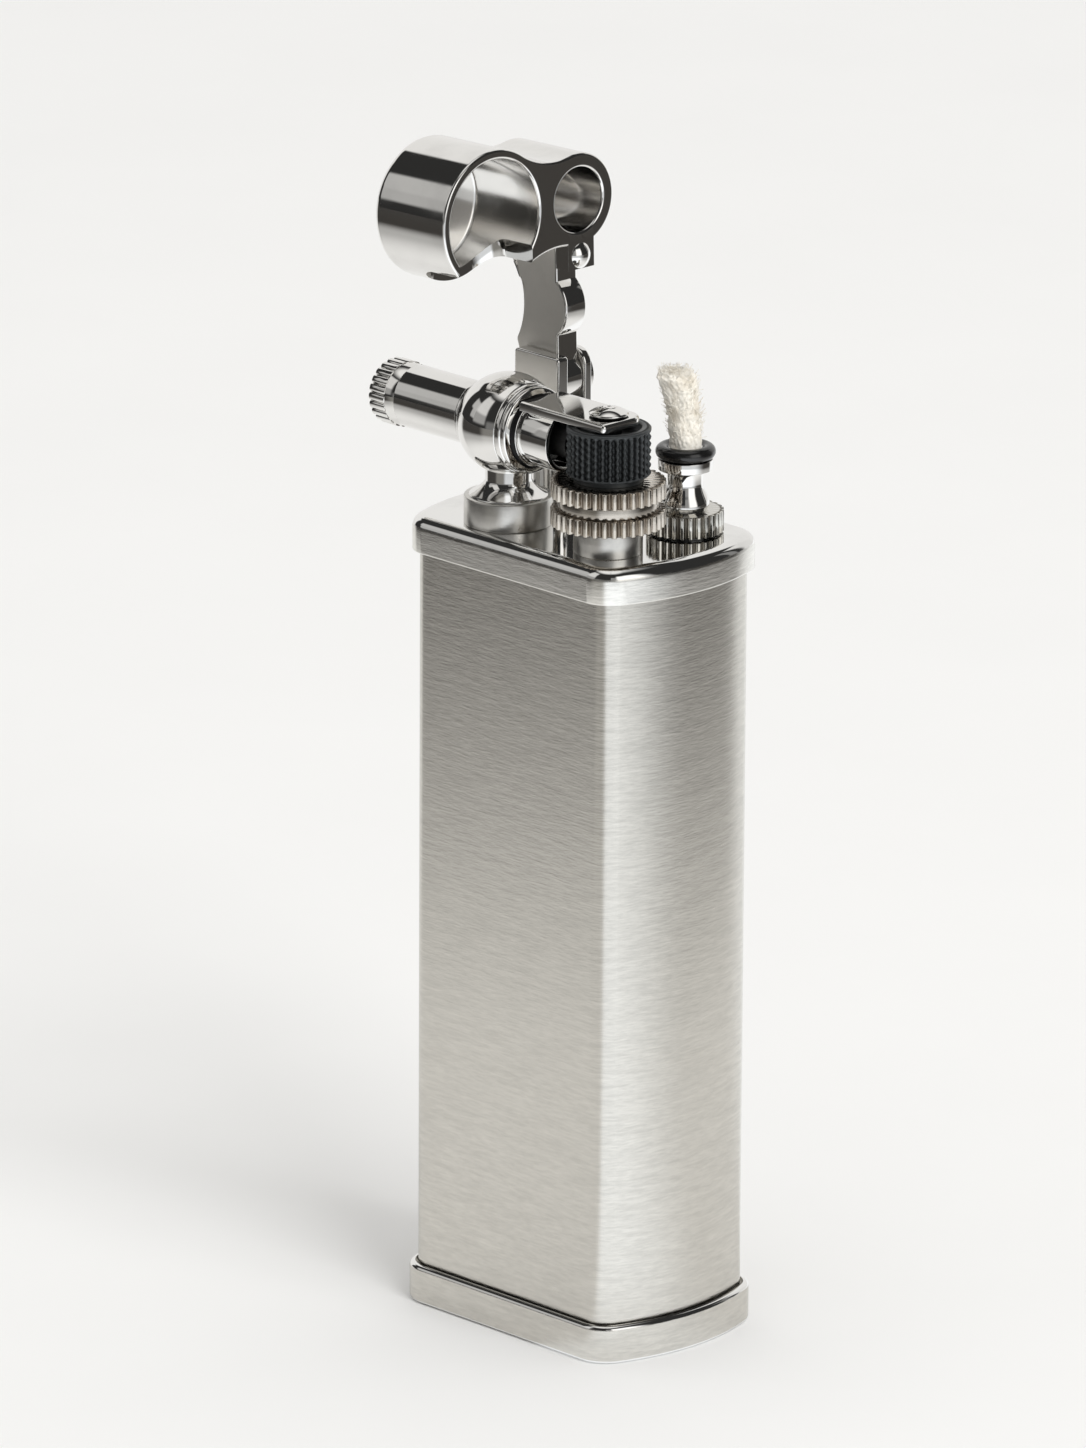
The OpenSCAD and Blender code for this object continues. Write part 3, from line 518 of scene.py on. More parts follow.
def piece(name, bm, body, finishes, stands_for, edge=0.04):
    bmesh.ops.remove_doubles(bm, verts=bm.verts[:], dist=1e-4)
    bmesh.ops.recalc_face_normals(bm, faces=bm.faces[:])
    placed(bm, Matrix.Scale(MM, 4))
    made = raw_object(name, bm)
    made.data.shade_smooth()
    for finish in finishes:
        made.data.materials.append(finish)
    soften(made, edge)
    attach(made, body)
    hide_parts(*stands_for)
    print(name, "-", len(made.data.polygons), "faces before its edge bevel")


print("piece maker ready")

# %% [markdown]
# ## The case and its two caps
# The case is a drawn tube with two flat sides and two bowed ends. Its outline is four runs of the
# pen: flat side, tight corner, wide bow, tight corner, and back again. The caps follow the same
# outline a little further out, so one function draws all three.

# %% Outline of the case
case_low, case_high = low("case_shell"), high("case_shell")
half_l, half_w = case_high.x, case_high.y
end_bow, bow_corner = 1.67, 1.85  # rise of the bowed ends, radius of the four corners
bow_r = (half_w ** 2 + end_bow ** 2) / (2 * end_bow)


def case_outline(grow, corner):
    reach_y, around = half_w + grow, bow_r + grow
    bow_x = half_l - bow_r
    corner_x = bow_x + math.sqrt((around - corner) ** 2 - (reach_y - corner) ** 2)
    half_bow = math.degrees(math.asin((reach_y - corner) / (around - corner)))
    pen = Pen(-corner_x, -reach_y)
    for end in range(2):
        pen.run(2 * corner_x).arc(corner, 90 - half_bow, 16)
        pen.arc(around, 2 * half_bow, 40).arc(corner, 90 - half_bow, 16)
    return pen.fill()


print("case", round(2 * half_l, 2), "by", round(2 * half_w, 2), "mm, bow radius", round(bow_r, 2))

# %% The drawn case
sheet_t = 0.5
shell = raise_up(case_outline(0, bow_corner), case_low.z, case_high.z)
ends = [f for f in shell.faces if abs(f.normal.z) > 0.9]
bmesh.ops.delete(shell, geom=ends, context="FACES_ONLY")
bmesh.ops.recalc_face_normals(shell, faces=shell.faces[:])
bmesh.ops.solidify(shell, geom=shell.faces[:], thickness=sheet_t)
piece("case_sleeve", shell, "case", [brushed_case], ["case_shell"], edge=0)

# %% The base cap, with a sunk seam round the case
base_top = high("base_cap").z
lip, lip_round, foot_round = -low("base_cap").y - half_w, 0.35, 0.3
seam_w, seam_deep = 0.12, 0.5
rim = raise_up(case_outline(lip, bow_corner + lip), 0, base_top)
round_rim(rim, base_top, lip_round)
round_rim(rim, 0, foot_round, 5)
top_face = [f for f in rim.faces
            if f.normal.z > 0.99 and f.calc_center_median().z > base_top - 0.01]
bmesh.ops.inset_region(rim, faces=top_face, thickness=lip - lip_round - seam_w,
                       use_even_offset=True)
sunk = bmesh.ops.extrude_face_region(rim, geom=top_face)["geom"]
bmesh.ops.delete(rim, geom=top_face, context="FACES_KEEP_BOUNDARY")
bmesh.ops.translate(rim, verts=[g for g in sunk if isinstance(g, bmesh.types.BMVert)],
                    vec=(0, 0, -seam_deep))
second_finish(rim, lambda face: abs(face.normal.z) >= 0.3)
piece("base_rim", rim, "case", [brushed_case, plate_mirror], ["base_cap"])

# %% The polished top plate, with a brushed skirt
cap_lip, cap_round = -low("top_cap").y - half_w, 0.9
plate = raise_up(case_outline(cap_lip, bow_corner + cap_lip), low("top_cap").z, plate_z)
round_rim(plate, plate_z, cap_round, 12)
second_finish(plate, lambda face: abs(face.normal.z) >= 0.25)
piece("top_plate", plate, "case", [brushed_rim, plate_mirror], ["top_cap"],
      edge=0.12)

# %% [markdown]
# ## Cutting and joining solids
# Some pieces are one solid with others taken out of it or soldered to it. A Boolean modifier does
# that in millimetres, its result is read back as a new mesh, and the helpers are thrown away.

# %% Boolean helper
def combined(bm, others, operation="DIFFERENCE"):
    for solid in [bm, *others]:
        bmesh.ops.remove_doubles(solid, verts=solid.verts[:], dist=1e-4)
        bmesh.ops.recalc_face_normals(solid, faces=solid.faces[:])
    parts = [raw_object("solid", bm)] + [raw_object("tool", other) for other in others]
    for tool in parts[1:]:
        step = parts[0].modifiers.new("step", "BOOLEAN")
        step.operation, step.object, step.solver = operation, tool, "EXACT"
    seen = parts[0].evaluated_get(bpy.context.evaluated_depsgraph_get())
    result = bmesh.new()
    result.from_mesh(seen.to_mesh())
    for used in parts:
        mesh = used.data
        bpy.data.objects.remove(used)
        bpy.data.meshes.remove(mesh)
    bmesh.ops.remove_doubles(result, verts=result.verts[:], dist=1e-4)
    return result


print("boolean helper ready")

# %% Plate that stands on its edge
flat_to_side = Matrix.Rotation(math.pi / 2, 4, "X")


def along_y(bm, y0, y1, rounding):
    plate = raise_up(bm, -y1, -y0)
    round_rim(plate, -y1, rounding, 3)
    round_rim(plate, -y0, rounding, 3)
    return placed(plate, flat_to_side)


print("standing plates ready")

# %% [markdown]
# ## The ball on its stand
# A satin drum stands on the plate, and a bright ball grows out of it on a flared neck. The ball is
# turned about the flint tube and the neck about its own upright axis, so they are two clean lathe
# pieces in one mesh, and the neck's upper end lies inside the ball.

# %% Drum, neck and ball
ball_at = Vector((ball_x, tube_at.y, 0))
drum_top = high("stand_drum").z
drum_r = high("stand_drum").x - ball_x
stud = 1.2
drum = tube_wall(stud, drum_r, plate_z, drum_top)
piece("drum", placed(drum, standing(ball_at)), "case", [turned_drum],
      ["stand_drum"], edge=0.08)

ball_r, ball_front, ball_rear, bore = 3.6, 1.743, 2.638, 2.27
front_turn = math.degrees(math.asin(ball_front / ball_r))
rear_turn = math.degrees(math.asin(ball_rear / ball_r))
ball = lathe([(bore, -ball_rear)] + circle_points(ball_r, -rear_turn, front_turn, 60)
             + [(bore, ball_front)], steps=144)
neck_r, flare_out, flare_h = 1.62, 1.13, 1.07
neck_end = tube_at.z - 2.9
flare = [(neck_r + flare_out * (1 - t / 12) ** 1.7, drum_top + 0.08 + t / 12 * flare_h)
         for t in range(13)]
neck = lathe([(0, drum_top - 1), (stud, drum_top - 1), (stud, drum_top),
              (neck_r + flare_out, drum_top)] + flare
             + [(neck_r, neck_end), (0, neck_end)], steps=96)
stand = join(placed(ball, on_tube(ball_x)), placed(neck, standing(ball_at)))
piece("ball_and_neck", stand, "case", [mirror_nickel], ["ball_stand"], edge=0.05)

# %% [markdown]
# ## The flint tube
# The tube runs right through the ball to a grooved collar, and a stop ring sits against the back of
# the ball. Past the groove, where the collar meets the barrel, its faces take painted shade, a
# near-black finish.

# %% Tube and collar
tube_low, tube_high = low("flint_tube"), high("flint_tube")
tube_r, flint_bore = 2.25, 1.32
stop_r, stop_rear, stop_front = 2.45, ball_x - ball_rear - 0.3, ball_x - ball_rear - 0.02
tube = lathe([(flint_bore, tube_low.x), (tube_r, tube_low.x), (tube_r, stop_rear),
              (stop_r, stop_rear), (stop_r, stop_front), (tube_r, stop_front),
              (tube_r, tube_high.x), (flint_bore, tube_high.x)], steps=128)
piece("rear_tube", placed(tube, on_tube(0)), "case", [mirror_nickel],
      ["flint_tube"], edge=0.06)

collar_at, collar_r = low("collar_ring").x, high("collar_ring").z - tube_at.z
collar_bore, nose_r, groove_at, nose_end = tube_r + 0.02, 2.45, 1.0, 1.36
collar = lathe([(collar_bore, 0), (collar_r, 0, 0.1), (collar_r, 0.42, 0.1), (collar_r - 0.12, 0.5),
                (collar_r - 0.12, 0.55), (collar_r - 0.04, 0.62, 0.1), (collar_r - 0.1, 0.92, 0.12),
                (2.62, groove_at), (nose_r, groove_at + 0.02), (nose_r, nose_end),
                (collar_bore, nose_end)], steps=128)


# faces past the groove, where the collar meets the barrel, take the painted shade
def in_painted_shade_band(face):
    spot = face.calc_center_median()
    return spot.z > groove_at and spot.xy.length > nose_r - 0.05


piece("collar", placed(second_finish(collar, in_painted_shade_band), on_tube(collar_at)), "case",
      [mirror_nickel, painted_shade_black], ["collar_ring"], edge=0)

# %% [markdown]
# ## The wheel bracket
# The front barrel guides the flint, and a flat tongue grows from its top over the wheels to hold
# the upper end of their spindle. The barrel's wide mouth shows as a dark hole in front.

# %% Barrel
barrel_x, mouth_x, barrel_r, mouth_r, mouth_deep, plug = -0.507, 2.393, 2.33, 2.0, 2.1, 0.7
barrel = lathe([(flint_bore, barrel_x - plug), (tube_r, barrel_x - plug), (tube_r, barrel_x),
                (barrel_r, barrel_x, 0.03), (barrel_r, mouth_x, 0.06), (mouth_r, mouth_x, 0.03),
                (mouth_r, mouth_x - mouth_deep), (flint_bore, mouth_x - mouth_deep)], steps=144)
print("barrel", round(mouth_x - barrel_x, 2), "mm long")

# %% Tongue
tongue_low, tongue_top = 66.68, high("wheel_bracket").z
tongue_x, tongue_side, tip_x = barrel_x + 0.05, 2.1, high("wheel_bracket").x
near_corner, far_corner, top_round = 0.3, 1.3, 0.26
tongue = Pen(tongue_x, tube_at.y - tongue_side)
tongue.run(tip_x - tongue_x - near_corner).arc(near_corner, 90, 8)
tongue.run(2 * tongue_side - near_corner - far_corner).arc(far_corner, 90, 16)
tongue = raise_up(tongue.run(tip_x - tongue_x - far_corner).fill(), tongue_low, tongue_top)
free_edges = [e for e in rim_edges(tongue, tongue_top)
              if max(v.co.x for v in e.verts) > tongue_x + 0.05]
bmesh.ops.bevel(tongue, geom=free_edges, offset=top_round, offset_type="OFFSET", segments=8,
                profile=0.5, affect="EDGES", material=-1)
piece("barrel_and_tongue", join(placed(barrel, on_tube(0)), tongue), "case",
      [mirror_nickel], ["wheel_bracket"], edge=0.06)

# %% [markdown]
# ## The flint screw
# A coarse-ribbed head closes the tube at the back. Unscrewed, it lets the flint be changed.

# %% Ribbed head with its cone
screw_x, screw_l = low("flint_screw").x, high("flint_screw").x - low("flint_screw").x
stem_r, cone_end = 1.27, 2.3
head = toothed(2.35, 0, 1.5, 22, 0.22, round_ribs)
cone = lathe([(0, 1.2), (2.1, 1.2), (2.3, 1.4, 0.08), (2.05, cone_end, 0.08), (stem_r, cone_end),
              (stem_r, screw_l), (0, screw_l)], steps=96)
piece("flint_screw_head", placed(join(head, cone), on_tube(screw_x)), "screw",
      [mirror_nickel], ["flint_screw"], edge=0.06)

# %% [markdown]
# ## Wheels
# Two toothed discs are turned by the thumb, and a black file-cut wheel above them strikes the
# flint. The file cut is ribs crossed by grooves, so the wheel starts as a finely divided lathe
# piece and its outer points are pressed in where the cuts run.

# %% Pillar and thumb wheel
axle_hole, wheel_hole = 0.92, 0.95
pillar = tube_wall(axle_hole, 2.4, plate_z, high("wheel_pillar").z)
piece("pillar", placed(pillar, standing(wheel_at)), "case", [turned_drum],
      ["wheel_pillar"], edge=0.06)

thumb_low, thumb_high, disc_h = low("thumb_wheel").z, high("thumb_wheel").z, 1.17
groove = tube_wall(wheel_hole, 3.55, thumb_low + disc_h, thumb_high - disc_h)
discs = [placed(toothed(thumb_r, wheel_hole, disc_h, 36, 0.3), Matrix.Translation((0, 0, z)))
         for z in (thumb_low, thumb_high - disc_h)]
wheel = join(*discs, second_finish(groove, lambda face: True))
piece("thumb_wheel_discs", placed(wheel, standing(wheel_at)), "wheel",
      [thumb_nickel, warm_groove], ["thumb_wheel"], edge=0.09)

# %% Spacer and file-cut wheel
spark_low, spark_high = low("spark_wheel").z, high("spark_wheel").z
spacer = tube_wall(wheel_hole, 2.45, thumb_high, spark_low)
piece("dark_spacer", placed(spacer, standing(wheel_at)), "wheel", [black_steel],
      ["wheel_spacer"])

ribs, rows, steps_a_rib = 34, 6, 10
rise, corner, hollow_r, hollow_deep = spark_high - spark_low, 0.1, 2.25, 0.45
rib_deep, cross_deep = 0.15, 0.06
wall = [(spark_r, corner + (rise - 2 * corner) * i / 70) for i in range(71)]
spark = lathe([(wheel_hole, 0), (spark_r - corner, 0)] + wall
              + [(spark_r - corner, rise), (hollow_r + 0.08, rise), (hollow_r, rise - 0.08),
                 (hollow_r, rise - hollow_deep), (wheel_hole, rise - hollow_deep)],
              steps=ribs * steps_a_rib)
for vert in spark.verts:
    place = vert.co.copy()
    if place.xy.length > spark_r - 0.01 and 0.12 < place.z < rise - 0.15:
        around = math.atan2(place.y, place.x) * ribs
        up = (place.z - 0.2) / (rise - 0.4) * rows * 2 * math.pi + around * 0.5
        fade = min(1, (place.z - 0.1) / 0.08, (rise - 0.1 - place.z) / 0.3)
        press = (rib_deep * (1 - math.cos(around)) + cross_deep * (1 - math.cos(up))) * fade
        vert.co.xy *= 1 - press / place.xy.length
piece("file_cut_wheel", placed(spark, Matrix.Translation((0, 0, spark_low)) @ standing(wheel_at)),
      "wheel", [black_steel], ["spark_wheel"], edge=0)

# %% [markdown]
# ## Spindle
# One screw holds the wheels from above. Its domed head is a slice of a ball, with a small socket in
# the middle. A narrow seam under the head is painted near-black as shade, which keeps the head
# apart from the tongue, which is just as bright.

# %% Domed spindle
def dome_points(radius, height, base):
    ball = (radius ** 2 + height ** 2) / (2 * height)
    spread = math.asin(radius / ball)
    turns = [spread * (1 - i / 14) for i in range(14)]
    return [(ball * math.sin(t), base + ball * math.cos(t) - ball + height) for t in turns]


spindle_low, spindle_high = low("wheel_spindle").z, high("wheel_spindle").z
spindle_r, seam_r, seam, dome_base = 0.9, 1.28, tongue_top + 0.13, tongue_top + 0.24
spindle = [(0, spindle_low), (spindle_r, spindle_low), (spindle_r, tongue_top),
           (seam_r, tongue_top), (seam_r, seam), (1.36, seam)]
spindle += dome_points(1.38, spindle_high - dome_base, dome_base)
spindle += [(0.52, spindle_high - 0.05), (0.46, spindle_high - 0.3), (0, spindle_high - 0.32)]


# the wall and ledge under the domed head take the painted shade
def under_head_painted_shade(face):
    spot = face.calc_center_median()
    return spot.xy.length > 1 and spot.z < seam + 0.01


turned = second_finish(lathe(spindle, steps=96), under_head_painted_shade)
piece("spindle", placed(turned, standing(wheel_at)), "case",
      [mirror_nickel, painted_shade_black], ["wheel_spindle"], edge=0)

# %% [markdown]
# ## Wick holder, ring and wick
# The holder is turned: a toothed foot to unscrew it by, a waisted neck and a flange that carries
# the rubber ring. The wick is the one soft thing here, so it gets an uneven twisted core with a
# ragged top, and nine hundred loose fibres that lie along it and fray at its end.

# %% Holder and ring
foot_z, foot_h, swell = 57.79, 1.52, 0.35
foot_top, flange_z, flange_top, nozzle_top = 59.31, 62.2, 62.93, high("wick_holder").z
wick_hole, thread_r, thread_end, flange_r, nozzle_r = 0.9, 1.9, plate_z - 4, 1.93, 1.08
waist_r, waist_in, waist_h = 1.25, 0.225, (flange_z - foot_top - swell) * 0.62
waist = [(waist_r + waist_in * (1 + math.cos(math.pi * t / 16)),
          foot_top + swell + t / 16 * waist_h) for t in range(17)]
holder = lathe([(wick_hole, thread_end), (thread_r, thread_end), (thread_r, foot_z), (1.5, foot_z),
                (1.5, foot_top)] + waist
               + [(1.3, flange_z - 0.35), (1.45, flange_z), (flange_r, flange_z),
                  (flange_r, flange_top), (nozzle_r, flange_top), (nozzle_r, nozzle_top - 0.22),
                  (1.2, nozzle_top - 0.06), (1.18, nozzle_top), (1.02, nozzle_top),
                  (wick_hole, nozzle_top - 0.2)], steps=96)
foot = placed(toothed(foot_r, 1.45, foot_h, 28, 0.2), Matrix.Translation((0, 0, foot_z)))
holder = join(foot, second_finish(holder, lambda face: True))
piece("wick_tube", placed(holder, standing(wick_at)), "filler",
      [foot_nickel, mirror_nickel], ["wick_holder"], edge=0.05)

ring_z = wick_at.z
ring = lathe(circle_points(0.5, 0, 350, 35, (1.6, ring_z)), steps=96)
piece("rubber_ring", placed(ring, standing(wick_at)), "filler", [rubber],
      ["o_ring"], edge=0)

# %% Line of the wick
random.seed(11)
noise.seed_set(11)
wick_low, wick_top = low("wick").z, high("wick").z
rings_up = 90


def wick_line(t):
    lean_x, lean_y = -0.55 * t * t, -0.6 * t * t
    return Vector((lean_x, lean_y, nozzle_top - 0.3 + (wick_top - nozzle_top + 0.15) * t))


def lump(side, scale, height):
    return noise.noise(side * scale + Vector((0, 0, height)))


print("the wick's tip leans", [round(c, 2) for c in wick_line(1).xy], "mm")

# %% Wick core
core = bmesh.new()
rings = [bmesh.ops.create_circle(core, segments=120, radius=1)["verts"]]
edges = core.edges[:]
for step in range(rings_up):
    made = bmesh.ops.extrude_edge_only(core, edges=edges)["geom"]
    edges = [g for g in made if isinstance(g, bmesh.types.BMEdge)]
    rings.append([g for g in made if isinstance(g, bmesh.types.BMVert)])
bmesh.ops.contextual_create(core, geom=edges)
for step, verts in enumerate(rings):
    t = step / rings_up
    girth = 1.0 + 0.04 * math.sin(9 * t)
    girth += 0.24 * max(0, t - 0.45) / 0.55 - 0.25 * max(0, t - 0.95) / 0.05
    for vert in verts:
        turn = math.atan2(vert.co.y, vert.co.x)
        side = Vector((math.cos(turn), math.sin(turn), 0))
        strand = 0.06 * abs(math.sin(2.5 * turn + 4 * t)) + 0.03 * abs(math.sin(11 * turn + 14 * t))
        rough = 0.07 * lump(side, 1.6, t * 9) + 0.06 * lump(side, 7, t * 26)
        ragged = 0.45 * abs(noise.noise(side * 2.4 + Vector((3, 1, 5)))) * max(0, t - 0.8) / 0.2
        vert.co = wick_line(t * 0.97) + side * girth * (1 + strand + rough) - Vector((0, 0, ragged))
print("wick core", round(wick_top - nozzle_top, 2), "mm out of its nozzle")

# %% Loose fibres
fibres, fibre_r = 900, 0.017
threads = bpy.data.curves.new("threads", "CURVE")
threads.dimensions, threads.bevel_depth, threads.bevel_resolution = "3D", fibre_r, 0


def thread(points):
    line = threads.splines.new("NURBS")
    line.points.add(len(points) - 1)
    for spot, p in zip(line.points, points):
        spot.co = (*p, 1)
    line.use_endpoint_u, line.order_u, line.resolution_u = True, 3, 4


for count in range(fibres):
    t = random.uniform(0.05, 1) ** 0.6
    turn = random.uniform(0, 2 * math.pi)
    out = Vector((math.cos(turn), math.sin(turn), 0))
    from_top = t > 0.93
    start = wick_line(t) + out * (random.uniform(0.1, 0.9) if from_top else 1.12)
    climb = Vector((0, 0, random.uniform(0.1, 0.6 if from_top else 0.8)))
    drift = Vector((random.uniform(-1, 1), random.uniform(-1, 1), 0)) * 0.22
    spread = out * random.uniform(0.02, 0.16) * (2.2 if from_top else 1)
    thread([start - out * 0.15, start + climb * 0.4 + spread, start + climb * 0.8 + spread + drift,
            start + climb + spread * 0.6 + drift * 1.6])
strung = bpy.data.objects.new("strung", threads)
bpy.context.scene.collection.objects.link(strung)
fluff = strung.evaluated_get(bpy.context.evaluated_depsgraph_get()).to_mesh()
core.from_mesh(fluff)
bpy.data.objects.remove(strung)
bpy.data.curves.remove(threads)
for vert in core.verts:
    vert.co.z = min(vert.co.z, wick_top)
join(core, tube_wall(0, 0.86, wick_low, nozzle_top - 0.2, steps=32))
piece("cotton_wick", placed(core, standing(wick_at)), "filler", [wick_cotton], ["wick"],
      edge=0)

# %% [markdown]
# ## The hinge
# A fork on a post carries the snuffer's arm between two cheeks. The front cheek is nearly square
# and the rear one has rounded corners. A domed screw is the pivot.

# %% Fork
fork_low, fork_high = low("hinge_bracket"), high("hinge_bracket")
front_t, back_y, back_t, back_reach = 1.02, 5.145, 0.72, pivot.x + 2.09
front_y = back_y - 3.79
bridge_z, bridge_t, cheek_top = 63.05, 0.9, fork_high.z


def cheek(reach, corner, y0, y1):
    left = fork_low.x
    pen = Pen(left, bridge_z).run(reach - left).turn(90).run(cheek_top - bridge_z - corner)
    pen.arc(corner, 90, 16).run(reach - left - 2 * corner).arc(corner, 90, 16)
    return along_y(pen.fill(), y0, y1, 0.16)


post = Vector((pivot.x + 0.385, (front_y + back_y) / 2, 0))
stud_end, post_foot_r, post_foot_top, post_r = plate_z - 3.1, 2.1, plate_z + 0.7, 1.7
column = lathe([(0, stud_end), (stud, stud_end), (stud, plate_z), (post_foot_r, plate_z, 0.1),
                (post_foot_r, post_foot_top, 0.15), (post_r, post_foot_top),
                (post_r, bridge_z + 0.3), (0, bridge_z + 0.3)], steps=96)
bridge = block((fork_low.x, front_y, bridge_z), (back_reach, back_y, bridge_z + bridge_t))
fork = combined(cheek(fork_high.x, 0.3, front_y, front_y + front_t),
                [cheek(back_reach, 1.2, back_y - back_t, back_y), bridge,
                 placed(column, standing(post))], "UNION")
second_finish(fork, lambda face: face.normal.y < -0.99)
piece("fork", fork, "case", [mirror_nickel, arm_flat], ["hinge_bracket"])

# %% Pivot screw
pin_start, pin_end, pin_r, head_r = low("hinge_screw").y, high("hinge_screw").y, 0.8, 1.9
head_y, dome_y = back_y + 0.02, back_y + 0.02 + 0.35
pin = [(0, pin_start), (pin_r, pin_start), (pin_r, head_y), (head_r, head_y), (head_r, dome_y)]
pin += dome_points(head_r, pin_end - head_y - 0.35, dome_y)[1:] + [(0, pin_end)]
upright_to_y = Matrix.Translation((pivot.x, 0, pivot.z)) @ Matrix.Rotation(-math.pi / 2, 4, "X")
piece("pivot_screw", placed(lathe(pin, steps=96), upright_to_y), "case",
      [mirror_nickel], ["hinge_screw"])

# %% [markdown]
# ## The snuffer
# The arm and the cups are drawn shut, as a maker would mark them out, and then swung open about
# the pivot by one matrix. The arm's outline goes round the eye, along the underside, round the
# belly, up the end and back through the hollow in its upper edge, and is cut as one plate.

# %% Swing and arm
open_turn = -91.7
swing = Matrix.Translation(pivot) @ Matrix.Rotation(math.radians(open_turn), 4, "Y")
arm_reach, small_r, big_r = wick_at.x - pivot.x, 3.3, 4.93  # to the small cup; the two cups
eye_r, pin_hole, scoop_x, heel_x = 2.0, 0.85, 5.195, arm_reach - 1.65


def polygon(points):
    bm = bmesh.new()
    verts = [bmesh.ops.create_vert(bm, co=(p[0], p[1], 0))["vert"][0] for p in points]
    bmesh.ops.contextual_create(bm, geom=verts)
    return bm


arm_line = circle_points(eye_r, 90, 311.41, 60)
arm_line += circle_points(2.48, 218.68, 321.32, 40, (scoop_x, 0.05))
arm_line += [(heel_x, -1.5), (heel_x, 3.0)]
arm_line += circle_points(5.3, -52.06, -120.21, 32, (scoop_x, 7.18)) + [(2.3, 2.6), (1.7, 2.4)]
arm = along_y(polygon(arm_line), low("lid_arm").y, high("lid_arm").y, 0.14)
eye_hole = placed(disc(pin_hole, 0, 0, -6, 0, 64), flat_to_side)
arm = combined(arm, [eye_hole, disc(small_r + 0.06, arm_reach, wick_at.y, -12, 12)])
second_finish(arm, lambda face: abs(face.normal.y) > 0.99)
piece("snuffer_arm", placed(arm, swing), "snuffer", [mirror_nickel, arm_flat],
      ["lid_arm"], edge=0.05)

# %% [markdown]
# ## The two cups
# Seen from the mouth the cups are a figure of eight. Four arcs that touch each other draw it: round
# the big cup, in along one hollow flank, round the small cup and back along the other flank. Then
# the two hollows are drilled, and a notch in the big cup makes room for the bracket's tongue.

# %% Figure of eight
cup_l, cup_floor, flank_r = 7.2, 0.8, 6.0
big_at = Vector((wick_at.x, low("snuffer_cups").y + big_r, 0))
apart = wick_at.y - big_at.y
flank_y = (apart ** 2 + (big_r + flank_r) ** 2 - (small_r + flank_r) ** 2) / (2 * apart)
flank_x = math.sqrt((big_r + flank_r) ** 2 - flank_y ** 2)
lower_turn = math.degrees(math.atan2(flank_y, flank_x))
upper_turn = math.degrees(math.atan2(apart - flank_y, flank_x))
start = math.radians(180 - lower_turn)
eight = Pen(big_r * math.cos(start), big_r * math.sin(start), 270 - lower_turn)
eight.arc(big_r, 180 + 2 * lower_turn, 96).arc(flank_r, -(lower_turn + upper_turn), 24)
eight.arc(small_r, 180 + 2 * upper_turn, 72).arc(flank_r, -(lower_turn + upper_turn), 24)
cups = round_rim(raise_up(eight.fill(), 0, cup_l), cup_l, 0.8, 8)
round_rim(cups, 0, 0.2, 4)
print("cups", round(apart, 2), "mm apart, flanks of", flank_r, "mm")

# %% Hollows
big_hollow, small_hollow, mouth_round, floor_round = 4.25, 2.27, 0.22, 0.25
deep = cup_l - cup_floor


def hollow(radius, y):
    mouth = [(0, -0.5), (radius + 0.2, -0.5), (radius + 0.2, 0), (radius + 0.14, 0.015),
             (radius + 0.06, 0.06), (radius + 0.015, 0.14), (radius, mouth_round)]
    inner = radius - floor_round
    turns = [math.radians(a) for a in (22, 45, 68, 90)]
    floor = [(radius, deep - floor_round)]
    floor += [(inner + floor_round * math.cos(t), deep - floor_round + floor_round * math.sin(t))
              for t in turns]
    drill = lathe(mouth + floor + [(0, deep)], steps=144)
    return placed(drill, Matrix.Translation((0, y, 0)))


def inside(face):
    spot = face.calc_center_median()
    in_big = spot.xy.length < big_hollow + 0.01
    in_small = (spot.xy - Vector((0, apart))).length < small_hollow + 0.01
    return mouth_round + 0.01 < spot.z < deep + 0.05 and (in_big or in_small)


print("hollows", 2 * big_hollow, "and", 2 * small_hollow, "mm wide,", round(deep, 2), "mm deep")

# %% Notch and tab
mouth_down = Matrix.Translation((big_at.x - pivot.x, big_at.y, ring_z - pivot.z))
tab_low = Vector((8.09 - (big_at.x - pivot.x), 2.39 - big_at.y, 0))
tab = block(tab_low, (tab_low.x + 4.9, tab_low.y + 2.46, 1.24))

notch_w, notch_h, notch_round = 7.0, 4.84, 1.7
notch = Pen(-notch_w / 2, -0.5).run(notch_w).turn(90).run(notch_h - notch_round)
notch.arc(notch_round, 90, 20).run(notch_w - 2 * notch_round).arc(notch_round, 90, 20)
to_side = Matrix(((0, 0, 1, 0), (1, 0, 0, 0), (0, 1, 0, 0), (0, 0, 0, 1)))
notch = placed(raise_up(notch.fill(), -9.86, -1.48), to_side)
cups = combined(cups, [tab], "UNION")
cups = combined(cups, [hollow(big_hollow, 0), hollow(small_hollow, apart), notch])
second_finish(cups, inside)
piece("double_cup", placed(cups, swing @ mouth_down), "snuffer",
      [mirror_nickel, satin_inside], ["snuffer_cups"], edge=0.06)

# %% Rivet
shank_r, shank_end, rivet_r, rivet_h = 0.45, 3.1, 0.92, 0.42
rivet = [(0, shank_end), (shank_r, shank_end), (shank_r, 0)]
rivet += [(r, -z) for r, z in dome_points(rivet_r, rivet_h, 0)] + [(0, -rivet_h)]
rivet_place = swing @ Matrix.Translation((9.01, 3.62, ring_z - pivot.z))
piece("rivet", placed(lathe(rivet, steps=64), rivet_place), "snuffer",
      [mirror_nickel], ["arm_rivet"], edge=0.03)

# %% [markdown]
# ## What stays as the frame drew it
# The pieces inside the case, the tube and the fork can't be seen, and of the gasket only a dark
# edge shows. Their frame meshes are good enough, so they stay and only take a finish that suits
# them.

# %% Inner pieces
inner = {"cotton_packing": packing_cotton, "filler_bush": inner_brass, "stand_nut": inner_brass,
         "pillar_nut": inner_brass, "bracket_nut": inner_brass, "flint_follower": inner_brass,
         "flint_spring": spring_steel, "lid_spring": spring_steel, "flint": flint_grey,
         "wick_gasket": rubber}
for name, finish in inner.items():
    nodes[name].data.materials.clear()
    nodes[name].data.materials.append(finish)
print("inner pieces finished:", len(inner))

